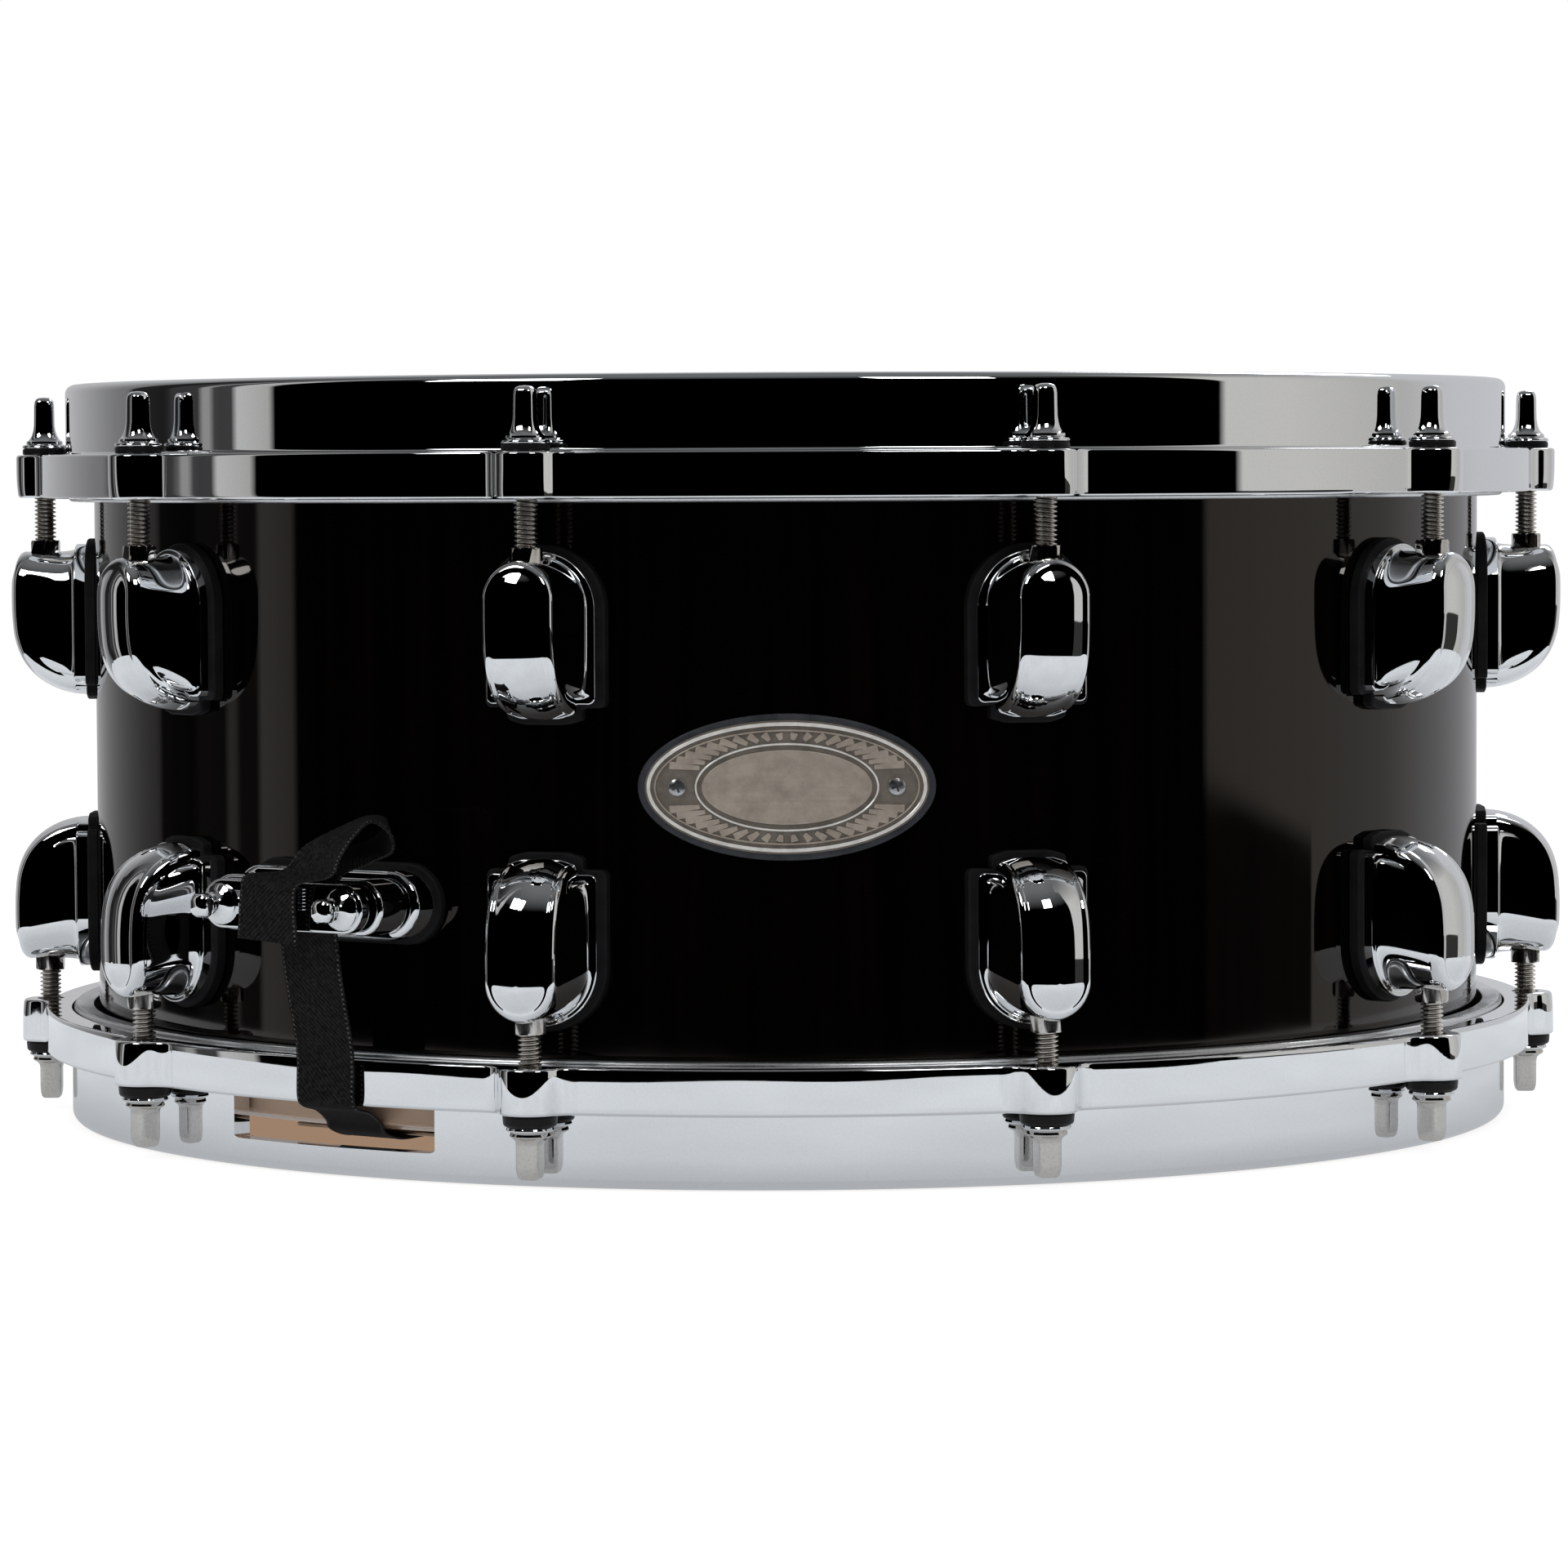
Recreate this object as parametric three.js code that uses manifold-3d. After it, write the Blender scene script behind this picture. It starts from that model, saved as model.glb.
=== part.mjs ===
// Snare drum, 14 x 6.5 inch, millimetres. +Z is up, the origin is at the middle of the bottom rim's resting plane,
// and the badge faces -Y. Angles round the drum are measured from the badge: 0 is -Y, +90 is +X.

import * as THREE from 'three';
import { mergeVertices } from 'three/addons/utils/BufferGeometryUtils.js';
import Module from 'manifold-3d';

const wasm = await Module();
wasm.setup();

// ---- driving dimensions ----------------------------------------------------------------------------------------

const HEIGHT = 187.3; // rim to rim
const ROUND_STEPS = 60; // facets round every ring, so that neighbouring rings keep their gap
const GAP = 0.3; // between pieces that touch

const SHELL_RADIUS = 177.8;
const SHELL_WALL = 6.5;
const SHELL_BOTTOM = 11.1; // the lower bearing edge
const SHELL_TOP = HEIGHT - SHELL_BOTTOM;
const EDGE_DROP = 3.6; // height of the bearing edge's bevels
const CREST_INSET = 2.6; // from the shell's outside to the crest of its bearing edge
const BED_DEPTH = 1.4; // of the snare beds
const BED_HALF_ANGLE = 20;

const FILM = 0.5; // thickness of a head in this model
const FILM_RADIUS = SHELL_RADIUS + 1;
const FILM_SKIRT = 14.5; // how far a head's skirt turns down beside the shell
const FLESH_INNER = 179.2;
const FLESH_OUTER = 184.4;
const FLESH_HEIGHT = 8.4;
const FLESH_FROM_RIM = 21.3; // rim to the near side of the flesh hoop

const COLLAR_OUTER = 184.9;
const COLLAR_INNER = 180.2;
const COLLAR_DEPTH = 17.7; // rim to flange
const FLANGE_HEIGHT = 11;
const FLANGE_RADIUS = 191.5;
const POCKET_RADIUS = 184.8; // the recess under the flange that holds the flesh hoop
const WEB = 3.2; // between flange top and pocket
const EAR_RADIUS = 7.3;
const EAR_FILLET = 6;
const ROD_CIRCLE = 191.7;
const ROD_HOLE = 3.6;

const TENSION_POINTS = 10;
const FIRST_POINT = 18; // degrees
const POINT_STEP = 360 / TENSION_POINTS;

const SNARE_ANGLE = -36; // the butt end; the strainer is opposite
const GATE_HALF_ANGLE = 9.7;
const GATE_SILL = 6.8; // bottom of the snare gates above the rim

const LUG_BACK = 178.2; // distance of a lug's flat back from the drum's axis
const LUG_FRONT = 200.4;
const LUG_LENGTH = 37;
const LUG_WIDTH = 18.8;
const LUG_BASE_WIDTH = 27;
const LUG_BASE_THICK = 4.4;
const UPPER_LUG_FACE = 144.4; // height of the end that the rod enters
const LOWER_LUG_FACE = 39.4;
const NUT_HEIGHT = 3;
const NUT_RADIUS = 4.8;
const LUG_BORE = 3.9; // corners of a six-sided bore
const LUG_BORE_DEPTH = 25;

const ROD_RADIUS = 2.75;
const ROD_LENGTH = 45; // washer to tip
const ROD_HEAD_SIDE = 5.6;

const WIRE_COUNT = 20;
const WIRE_PITCH = 2.3;
const WIRE_SIZE = 1.6;
const WIRE_TOP = 9.7;
const WIRE_HALF_LENGTH = 157;
const WIRE_PLATE = { inner: 155.5, outer: 169, half: 23.5, low: 8.6, high: 9.7 };

const STRAP_WIDTH = 17.5;
const STRAP_THICK = 0.6;

const BUTT_Z = 64.3;
const BUTT_FACE = 195.6;
const BUTT = { foot: 28, footHeight: 16.5, footFace: 187, post: 26.2, postHeight: 13.2, clamp: 24.2 };
const CLAMP = { inner: 196.8, outer: 200.2, screw: 18.5, height: 11.6 };

const BADGE_Z = 92.4;
const BADGE = { across: 34.5, up: 17, face: 1.8 }; // half sizes, and the face's height above the shell
const VENT_ANGLE = 180;
const VENT_Z = HEIGHT / 2;
const VENT = { hole: 6.4, bore: 4.6, barrel: 6.1, flange: 10, lip: 1.8 };

const FRAME = { half: 14.2, cheek: 3, inner: 181.6, outer: 196.2, low: 48, high: 92 }; // the strainer's body
const LEVER_PIVOT = { radius: 189.5, height: 72 };
const BLOCK = { half: 10.7, inner: 182.2, outer: 195.6 }; // lift block and clamp carriage, between the cheeks
const CARRIAGE_Z = [53, 72];
const LIFT_Z = [75.5, 87];
const SCREW_RADIUS = 2.4; // the fine-tune screw
const SCREW_BORE = 3.1;
const SCREW_AXIS = 189;

// ---- materials -------------------------------------------------------------------------------------------------

const finish = (color, roughness, metalness) => () => new THREE.MeshStandardMaterial({ color, roughness, metalness });
const lacquer = finish(0x060505, 0.08, 0);
const chrome = finish(0xdfe1e4, 0.06, 1);
const nickel = finish(0xc9c5bd, 0.25, 1);
const steel = finish(0xb8babd, 0.3, 1);
const pewter = finish(0x8b857b, 0.4, 1);
const aluminium = finish(0xc4c6c8, 0.35, 1);
const coatedFilm = finish(0xeeece6, 0.75, 0);
const clearFilm = finish(0xdfe3e2, 0.2, 0);
const ribbon = finish(0x171616, 0.85, 0);

// ---- solids ----------------------------------------------------------------------------------------------------

const rad = THREE.MathUtils.degToRad;

// Merges shared corners, drops triangles with no area and turns the faces outwards.
function closed(geometry) {
  const bare = geometry.clone();
  bare.deleteAttribute('normal');
  bare.deleteAttribute('uv');
  const merged = mergeVertices(bare, 1e-4);
  const old = merged.index.array;
  const kept = [];
  for (let i = 0; i < old.length; i += 3) {
    const [a, b, c] = [old[i], old[i + 1], old[i + 2]];
    if (a !== b && b !== c && c !== a) kept.push(a, b, c);
  }
  const at = (i) => new THREE.Vector3().fromBufferAttribute(merged.attributes.position, i);
  let volume = 0;
  for (let i = 0; i < kept.length; i += 3) {
    volume += at(kept[i]).dot(at(kept[i + 1]).cross(at(kept[i + 2])));
  }
  if (volume < 0) kept.reverse();
  merged.setIndex(kept);
  return merged;
}

function solid(geometry) {
  const mesh = closed(geometry);
  return new wasm.Manifold(
    new wasm.Mesh({
      numProp: 3,
      vertProperties: new Float32Array(mesh.attributes.position.array),
      triVerts: new Uint32Array(mesh.index.array),
    }),
  );
}

function shapeOf(manifold) {
  const mesh = manifold.getMesh();
  const geometry = new THREE.BufferGeometry();
  geometry.setAttribute('position', new THREE.BufferAttribute(new Float32Array(mesh.vertProperties), 3));
  geometry.setIndex(new THREE.BufferAttribute(new Uint32Array(mesh.triVerts), 1));
  geometry.computeVertexNormals();
  return geometry;
}

const joined = (first, ...more) => more.reduce((sum, next) => sum.add(next), first);
const cut = (body, ...tools) => tools.reduce((rest, tool) => rest.subtract(tool), body);

const between = (a, b) => [Math.min(a, b), Math.max(a, b)];

const path = (points) => new THREE.Shape(points.map(([x, y]) => new THREE.Vector2(x, y)));

// A ring or disc about the drum's axis from a closed outline of [radius, height].
function turned(outline, steps = ROUND_STEPS) {
  const points = [...outline, outline[0]].map(([r, z]) => new THREE.Vector2(r, z));
  const onAxis = outline[0][0] === 0;
  const geometry = new THREE.LatheGeometry(onAxis ? points.slice(0, -1) : points, steps);
  return geometry.rotateX(Math.PI / 2);
}

// Pieces on the drum's side are made in front of the badge side: x is along the shell, -y outwards, z up.

// An outline of [radius, height], widened along x about the middle.
function sideways(outline, width, middle = 0) {
  const geometry = new THREE.ExtrudeGeometry(path(outline), { depth: width, bevelEnabled: false });
  const turn = new THREE.Matrix4().makeBasis(
    new THREE.Vector3(0, -1, 0),
    new THREE.Vector3(0, 0, 1),
    new THREE.Vector3(-1, 0, 0),
  );
  return geometry.applyMatrix4(turn).translate(middle + width / 2, 0, 0);
}

// An outline of [x, height], from one radius out to another.
function outwards(outline, inner, outer) {
  const shape = Array.isArray(outline) ? path(outline) : outline;
  const geometry = new THREE.ExtrudeGeometry(shape, { depth: outer - inner, bevelEnabled: false });
  return geometry.rotateX(Math.PI / 2).translate(0, -inner, 0);
}

// An upright prism of an outline seen from above.
function upwards(shape, low, high) {
  return new THREE.ExtrudeGeometry(shape, { depth: high - low, bevelEnabled: false }).translate(0, 0, low);
}

const brick = (x, radius, z) => {
  const box = new THREE.BoxGeometry(x[1] - x[0], radius[1] - radius[0], z[1] - z[0]);
  return box.translate((x[0] + x[1]) / 2, -(radius[0] + radius[1]) / 2, (z[0] + z[1]) / 2);
};

const circle = (x, y, radius, steps, first = 0) =>
  Array.from({ length: steps }, (_, i) => {
    const angle = first + (2 * Math.PI * i) / steps;
    return [x + radius * Math.cos(angle), y + radius * Math.sin(angle)];
  });

// A stadium lying along x, with round ends.
function stadium(halfLength, height, z, steps = 5) {
  const radius = height / 2;
  const end = (side, from) =>
    Array.from({ length: steps + 1 }, (_, i) => {
      const angle = from + (Math.PI * i) / steps;
      return [side * (halfLength - radius) + radius * Math.cos(angle), z + radius * Math.sin(angle)];
    });
  return [...end(1, -Math.PI / 2), ...end(-1, Math.PI / 2)];
}

// ---- scene -----------------------------------------------------------------------------------------------------

const drum = new THREE.Group();

function add(name, shape, material, angle = 0) {
  const mesh = new THREE.Mesh(shape.getMesh ? shapeOf(shape) : closed(shape), material());
  mesh.name = name;
  mesh.rotation.z = rad(angle);
  drum.add(mesh);
  return mesh;
}

const flipped = (outline) => outline.map(([r, z]) => [r, HEIGHT - z]);

// ---- shell and vent --------------------------------------------------------------------------------------------

const SHELL_INNER = SHELL_RADIUS - SHELL_WALL;

function makeShell() {
  const crest = SHELL_RADIUS - CREST_INSET;
  const ring = turned([
    [SHELL_RADIUS, SHELL_BOTTOM + EDGE_DROP],
    [SHELL_RADIUS, SHELL_TOP - EDGE_DROP],
    [crest, SHELL_TOP],
    [SHELL_INNER, SHELL_TOP - EDGE_DROP],
    [SHELL_INNER, SHELL_BOTTOM + EDGE_DROP],
    [crest, SHELL_BOTTOM],
  ]);
  const corners = ring.attributes.position;
  for (let i = 0; i < corners.count; i++) {
    const angle = THREE.MathUtils.radToDeg(Math.atan2(corners.getX(i), -corners.getY(i)));
    for (const middle of [SNARE_ANGLE, SNARE_ANGLE + 180]) {
      const away = Math.abs(angle - middle);
      if (corners.getZ(i) < HEIGHT / 2 && away < BED_HALF_ANGLE) {
        const dip = (BED_DEPTH * (1 + Math.cos((Math.PI * away) / BED_HALF_ANGLE))) / 2;
        corners.setZ(i, corners.getZ(i) + dip);
      }
    }
  }
  const vent = outwards(circle(0, VENT_Z, VENT.hole, 12), SHELL_INNER - 3, SHELL_RADIUS + 3);
  return cut(solid(ring), solid(vent.rotateZ(rad(VENT_ANGLE))));
}

// A round piece whose axis points outwards from the shell, from an outline of [radius about its axis, distance out].
function studded(outline, x, z, steps) {
  return turned(outline, steps).rotateX(Math.PI / 2).translate(x, 0, z);
}

function makeVent() {
  const { bore, barrel, flange, lip } = VENT;
  const outside = SHELL_RADIUS + GAP;
  const inside = SHELL_INNER * Math.cos(Math.PI / ROUND_STEPS) - 2 * GAP;
  const outline = [
    [bore, inside - 1],
    [flange, inside - 1],
    [flange, inside],
    [barrel, inside],
    [barrel, outside],
    [flange, outside],
    [flange - 1.5, outside + lip],
    [bore, outside + lip],
  ];
  return studded(outline, 0, VENT_Z, 12);
}

// ---- heads -----------------------------------------------------------------------------------------------------

function headFilm() {
  const low = SHELL_TOP + 0.4; // underside, where it crosses the bearing edge
  const skirt = low - FILM_SKIRT;
  return [
    [0, low + FILM],
    [SHELL_RADIUS - 2.3, low + FILM],
    [FILM_RADIUS, low - 1.8],
    [FILM_RADIUS, skirt],
    [FILM_RADIUS - FILM - 0.1, skirt],
    [FILM_RADIUS - FILM - 0.1, low - 2],
    [SHELL_RADIUS - CREST_INSET, low],
    [0, low],
  ];
}

function fleshHoop() {
  const high = HEIGHT - FLESH_FROM_RIM;
  const low = high - FLESH_HEIGHT;
  return [
    [FLESH_INNER, low],
    [FLESH_OUTER, low],
    [FLESH_OUTER, high],
    [FLESH_INNER, high],
  ];
}

// ---- hoops -----------------------------------------------------------------------------------------------------

// The scalloped outline: an ear round each rod, blended into the flange's circle by a fillet on each side.
function flangeOutline() {
  const reach = FLANGE_RADIUS + EAR_FILLET;
  const span = EAR_RADIUS + EAR_FILLET;
  const swing = Math.acos((ROD_CIRCLE ** 2 + reach ** 2 - span ** 2) / (2 * ROD_CIRCLE * reach));
  const fillet = [reach * Math.sin(swing), -reach * Math.cos(swing)];
  const toFillet = Math.atan2(fillet[0], -fillet[1] - ROD_CIRCLE); // from straight out, at the ear's centre
  const bay = [];
  const earSteps = 4;
  for (let i = 0; i <= earSteps; i++) {
    const angle = toFillet * ((2 * i) / earSteps - 1);
    bay.push([EAR_RADIUS * Math.sin(angle), -ROD_CIRCLE - EAR_RADIUS * Math.cos(angle)]);
  }
  const middle = (toFillet + swing) / 2; // halfway round the fillet
  bay.push([fillet[0] - EAR_FILLET * Math.sin(middle), fillet[1] + EAR_FILLET * Math.cos(middle)]);
  const flangeSteps = 4;
  for (let i = 0; i <= flangeSteps; i++) {
    const angle = swing + ((rad(POINT_STEP) - 2 * swing) * i) / flangeSteps;
    bay.push([FLANGE_RADIUS * Math.sin(angle), -FLANGE_RADIUS * Math.cos(angle)]);
  }
  const next = rad(POINT_STEP);
  const mirrored = [-bay[earSteps + 1][0], bay[earSteps + 1][1]];
  bay.push([
    mirrored[0] * Math.cos(next) - mirrored[1] * Math.sin(next),
    mirrored[0] * Math.sin(next) + mirrored[1] * Math.cos(next),
  ]);
  const outline = [];
  for (let k = 0; k < TENSION_POINTS; k++) {
    const turn = rad(FIRST_POINT + k * POINT_STEP);
    for (const [x, y] of bay) {
      outline.push([x * Math.cos(turn) - y * Math.sin(turn), x * Math.sin(turn) + y * Math.cos(turn)]);
    }
  }
  return outline;
}

function makeHoop() {
  const flangeTop = HEIGHT - COLLAR_DEPTH;
  const plate = path(flangeOutline());
  plate.holes.push(path(circle(0, 0, POCKET_RADIUS, ROUND_STEPS, rad(-90)).reverse()));
  for (let k = 0; k < TENSION_POINTS; k++) {
    const turn = rad(FIRST_POINT + k * POINT_STEP);
    const centre = [ROD_CIRCLE * Math.sin(turn), -ROD_CIRCLE * Math.cos(turn)];
    plate.holes.push(path(circle(...centre, ROD_HOLE, 8).reverse()));
  }
  const flange = upwards(plate, flangeTop - FLANGE_HEIGHT, flangeTop);
  const shoulder = flangeTop - WEB;
  const buried = POCKET_RADIUS + 1.4; // the collar's foot reaches into the flange
  const collar = turned([
    [COLLAR_INNER, shoulder],
    [buried, shoulder],
    [buried, flangeTop - 0.4],
    [COLLAR_OUTER, flangeTop - 0.4],
    [COLLAR_OUTER, HEIGHT],
    [COLLAR_INNER, HEIGHT],
  ]);
  return joined(solid(flange), solid(collar));
}

// The opening in the bottom hoop's collar that the snare strap passes through.
function gateCutter(angle) {
  const steps = 4;
  const arc = (radius) =>
    Array.from({ length: steps + 1 }, (_, i) => {
      const at = rad(angle + GATE_HALF_ANGLE * ((2 * i) / steps - 1));
      return [radius * Math.sin(at), -radius * Math.cos(at)];
    });
  const sector = path([...arc(COLLAR_OUTER + 0.5), ...arc(COLLAR_INNER - 3).reverse()]);
  return solid(upwards(sector, GATE_SILL, COLLAR_DEPTH + 0.1));
}

// ---- lugs and tension rods -------------------------------------------------------------------------------------

// A lug whose rod end is at height face; side is 1 when the rod leaves upwards and -1 when it leaves downwards.
function makeLug(face, side) {
  const z = (below) => face - side * below;
  const base = LUG_BACK + LUG_BASE_THICK;
  const body = sideways(
    [
      [LUG_BACK + 1, z(0)],
      [LUG_FRONT - 2.2, z(0)],
      [LUG_FRONT - 0.8, z(1.6)],
      [LUG_FRONT, z(8)],
      [LUG_FRONT - 0.4, z(17)],
      [LUG_FRONT - 2, z(24.8)],
      [LUG_FRONT - 5.6, z(31.4)],
      [LUG_FRONT - 10.6, z(35.4)],
      [base + 1.4, z(LUG_LENGTH - 0.2)],
      [LUG_BACK + 1, z(LUG_LENGTH)],
    ],
    LUG_WIDTH,
  );
  const half = LUG_BASE_WIDTH / 2;
  const shoulder = LUG_LENGTH - 4; // the base's square end; a narrow tongue goes on past it
  const rightSide = [
    [6.5, LUG_LENGTH + 1],
    [8.4, shoulder],
    [half, shoulder],
    [half, 11],
    [half - 2.2, 4],
    [half - 8, -1.2],
  ];
  const outline = [
    ...rightSide.map(([x, below]) => [x, z(below)]),
    ...rightSide.reverse().map(([x, below]) => [-x, z(below)]),
  ];
  const plate = outwards(outline, LUG_BACK, base);
  const nut = upwards(path(circle(0, -ROD_CIRCLE, NUT_RADIUS, 6)), ...between(z(1), z(-NUT_HEIGHT)));
  const bore = upwards(path(circle(0, -ROD_CIRCLE, LUG_BORE, 6)), ...between(z(LUG_BORE_DEPTH), z(-NUT_HEIGHT - 1)));
  return cut(joined(solid(body), solid(plate), solid(nut)), solid(bore));
}

// A stack of eight-sided sections joined into one closed piece: each is [radius or half side, height, square].
function stacked(sections) {
  const ring = ([size, height, square]) =>
    Array.from({ length: 8 }, (_, i) => {
      const angle = (i * Math.PI) / 4;
      const reach = square && i % 2 === 1 ? size * Math.SQRT2 : size;
      return [reach * Math.cos(angle), reach * Math.sin(angle), height];
    });
  const rings = sections.map(ring);
  const corners = rings.flat();
  const faces = [];
  for (let k = 0; k + 1 < rings.length; k++) {
    for (let i = 0; i < 8; i++) {
      const [a, b] = [8 * k + i, 8 * k + ((i + 1) % 8)];
      faces.push(a, b, b + 8, a, b + 8, a + 8);
    }
  }
  const last = 8 * (rings.length - 1);
  for (let i = 1; i < 7; i++) {
    faces.push(0, i + 1, i, last, last + i, last + i + 1);
  }
  const geometry = new THREE.BufferGeometry();
  geometry.setAttribute('position', new THREE.Float32BufferAttribute(corners.flat(), 3));
  geometry.setIndex(faces);
  return geometry;
}

// The rod stands on its washer at height seat; side is 1 for the head above and -1 for the head below.
function makeRod(seat, side, washer) {
  const z = (above) => seat + side * above;
  const half = ROD_HEAD_SIDE / 2;
  const sections = [
    [half, z(washer.thick + 11.6), true],
    [half, z(washer.thick + 3.4), true],
    [4.6, z(washer.thick + 2), false],
    [4.6, z(washer.thick + 1), false],
    [washer.radius, z(washer.thick), false],
    [washer.radius, z(0), false],
    [ROD_RADIUS, z(0), false],
    [ROD_RADIUS, z(-ROD_LENGTH), false],
  ];
  return stacked(sections).translate(0, -ROD_CIRCLE, 0);
}

// ---- snare wires and straps ------------------------------------------------------------------------------------

function makeWires() {
  const plates = [-1, 1].map((end) =>
    solid(
      brick(
        [-WIRE_PLATE.half, WIRE_PLATE.half],
        between(end * WIRE_PLATE.inner, end * WIRE_PLATE.outer),
        [WIRE_PLATE.low, WIRE_PLATE.high],
      ),
    ),
  );
  const strands = Array.from({ length: WIRE_COUNT }, (_, i) => {
    const x = (i - (WIRE_COUNT - 1) / 2) * WIRE_PITCH;
    return solid(
      brick(
        [x - WIRE_SIZE / 2, x + WIRE_SIZE / 2],
        [-WIRE_HALF_LENGTH, WIRE_HALF_LENGTH],
        [WIRE_TOP - 0.1 - WIRE_SIZE, WIRE_TOP - 0.1],
      ),
    );
  });
  return joined(...plates, ...strands);
}

// A ribbon through sections of [left x, left radius, left z, right x, right radius, right z].
function ribboned(sections) {
  const left = sections.map(([x, r, z]) => new THREE.Vector3(x, -r, z));
  const right = sections.map(([, , , x, r, z]) => new THREE.Vector3(x, -r, z));
  const corners = [];
  sections.forEach((_, i) => {
    const before = Math.max(i - 1, 0);
    const after = Math.min(i + 1, sections.length - 1);
    const along = left[after].clone().add(right[after]).sub(left[before]).sub(right[before]);
    const across = right[i].clone().sub(left[i]);
    const out = along.cross(across).normalize().multiplyScalar(STRAP_THICK / 2);
    for (const edge of [left[i], right[i]]) {
      corners.push(...edge.clone().add(out).toArray(), ...edge.clone().sub(out).toArray());
    }
  });
  const faces = [];
  for (let i = 0; i + 1 < sections.length; i++) {
    const a = 4 * i;
    for (const [p, q] of [[0, 2], [2, 3], [3, 1], [1, 0]]) {
      faces.push(a + p, a + q, a + 4 + q, a + p, a + 4 + q, a + 4 + p);
    }
  }
  const last = 4 * (sections.length - 1);
  faces.push(0, 1, 3, 0, 3, 2, last, last + 3, last + 1, last, last + 2, last + 3);
  const geometry = new THREE.BufferGeometry();
  geometry.setAttribute('position', new THREE.Float32BufferAttribute(corners, 3));
  geometry.setIndex(faces);
  return geometry;
}

// The stretch that both straps share, from under the wires' end plate out through the gate to the clamp's lower
// edge: [middle x, radius, z].
const strapRise = (shift) => [
  [0.2 * shift, 158.5, 7.8],
  [0.4 * shift, 176.2, 8],
  [0.7 * shift, 180, 12.7],
  [shift, 187, 16.3],
  [shift, 191.6, 16.7],
  [shift, 192.7, 18.2],
  [shift, 192.9, 30],
  [0.9 * shift, 195.4, 45],
  [0.85 * shift, 196.2, 51.5],
];

const level = ([x, r, z]) => [x - STRAP_WIDTH / 2, r, z, x + STRAP_WIDTH / 2, r, z];

// Past its clamp the butt strap stands up in a slack bow to the right, comes back and hangs over the clamp.
const buttBow = [
  [-3.3, 196.2, 70, 14.1, 196.2, 70],
  [3.6, 197.2, 79, 20.6, 197.8, 73.6],
  [16.1, 198.4, 85, 28.1, 199.6, 74.8],
  [26.6, 199.6, 86, 34.1, 202, 77.6],
  [27.1, 203.6, 85, 32.6, 206, 77.9],
  [16.1, 205.8, 80.2, 24.1, 207.8, 74.6],
  [3.1, 205.4, 73.8, 16.6, 207, 71.8],
  [-5.9, 203.6, 72.4, 10.1, 205.4, 70.2],
  [-10.9, 202, 69.4, 6.9, 203.2, 67.2],
  [-11.7, 201.6, 56.6, 7.3, 202, 55.8],
];

// ---- butt end --------------------------------------------------------------------------------------------------

function makeButt() {
  const foot = outwards(stadium(BUTT.foot, BUTT.footHeight, BUTT_Z), LUG_BACK + 0.6, BUTT.footFace);
  const post = outwards(stadium(BUTT.post, BUTT.postHeight, BUTT_Z), BUTT.footFace - 0.5, BUTT_FACE);
  return joined(solid(foot), solid(post));
}

// A plate that presses the strap onto the face behind it, with a drum-key screw near each end.
function makeClamp(halfLength, screw, z) {
  const plate = outwards(stadium(halfLength, CLAMP.height, z, 4), CLAMP.inner, CLAMP.outer);
  const heads = [-1, 1].map((side) =>
    solid(
      studded(
        [
          [0, CLAMP.outer - 0.5],
          [4.9, CLAMP.outer - 0.5],
          [4.6, CLAMP.outer + 1.4],
          [2, CLAMP.outer + 2.6],
          [2, CLAMP.outer + 4],
          [3, CLAMP.outer + 5.4],
          [2.6, CLAMP.outer + 8.2],
          [0, CLAMP.outer + 8.7],
        ],
        side * screw,
        z,
        8,
      ),
    ),
  );
  return joined(solid(plate), ...heads);
}

// ---- throw-off strainer ----------------------------------------------------------------------------------------

function makeStrainerBody() {
  const back = brick([-17, 17], [LUG_BACK + 0.2, FRAME.inner], [FRAME.low - 4, FRAME.high + 6]);
  const cheeks = [-1, 1].map((side) =>
    solid(
      sideways(
        [
          [FRAME.inner - 1, FRAME.low],
          [FRAME.outer - 4, FRAME.low],
          [FRAME.outer, FRAME.low + 6],
          [FRAME.outer, FRAME.high - 8],
          [FRAME.outer - 7, FRAME.high],
          [FRAME.inner - 1, FRAME.high],
        ],
        FRAME.cheek,
        side * (FRAME.half - FRAME.cheek / 2),
      ),
    ),
  );
  const pivot = sideways(circle(LEVER_PIVOT.radius, LEVER_PIVOT.height, 2.7, 8), 2 * FRAME.half + 4);
  return cut(joined(solid(back), ...cheeks), solid(pivot));
}

// Two arms outside the cheeks, joined by a grip above the knob; short pins carry them in the cheeks.
function makeLever() {
  const [armIn, armThick] = [FRAME.half + 0.5, 2.6];
  const { radius, height } = LEVER_PIVOT;
  const arms = [-1, 1].flatMap((side) => [
    solid(
      sideways(
        [
          [radius - 4.5, height - 3],
          [radius, height - 5.5],
          [radius + 4.5, height - 3],
          [radius + 5, height + 8],
          [radius + 8.5, height + 36],
          [radius + 12.5, height + 46],
          [radius + 8.8, height + 47],
          [radius + 3.5, height + 37],
          [radius - 4.2, height + 8],
        ],
        armThick,
        side * (armIn + armThick / 2),
      ),
    ),
    solid(
      sideways(circle(radius, height, 2.1, 8), armIn - FRAME.half + FRAME.cheek + 0.4, side * (FRAME.half - 1)),
    ),
  ]);
  const grip = sideways(
    [
      [radius + 3.8, height + 37],
      [radius + 8.3, height + 35.6],
      [radius + 12.5, height + 46],
      [radius + 10.8, height + 48.6],
      [radius + 8.8, height + 47],
    ],
    2 * armIn + 0.4,
  );
  return joined(...arms, solid(grip));
}

function makeCarriage([low, high], boreFrom) {
  const block = brick([-BLOCK.half, BLOCK.half], [BLOCK.inner, BLOCK.outer], [low, high]);
  const bore = upwards(path(circle(0, -SCREW_AXIS, SCREW_BORE, 8)), boreFrom, high + 1);
  return cut(solid(block), solid(bore));
}

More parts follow.
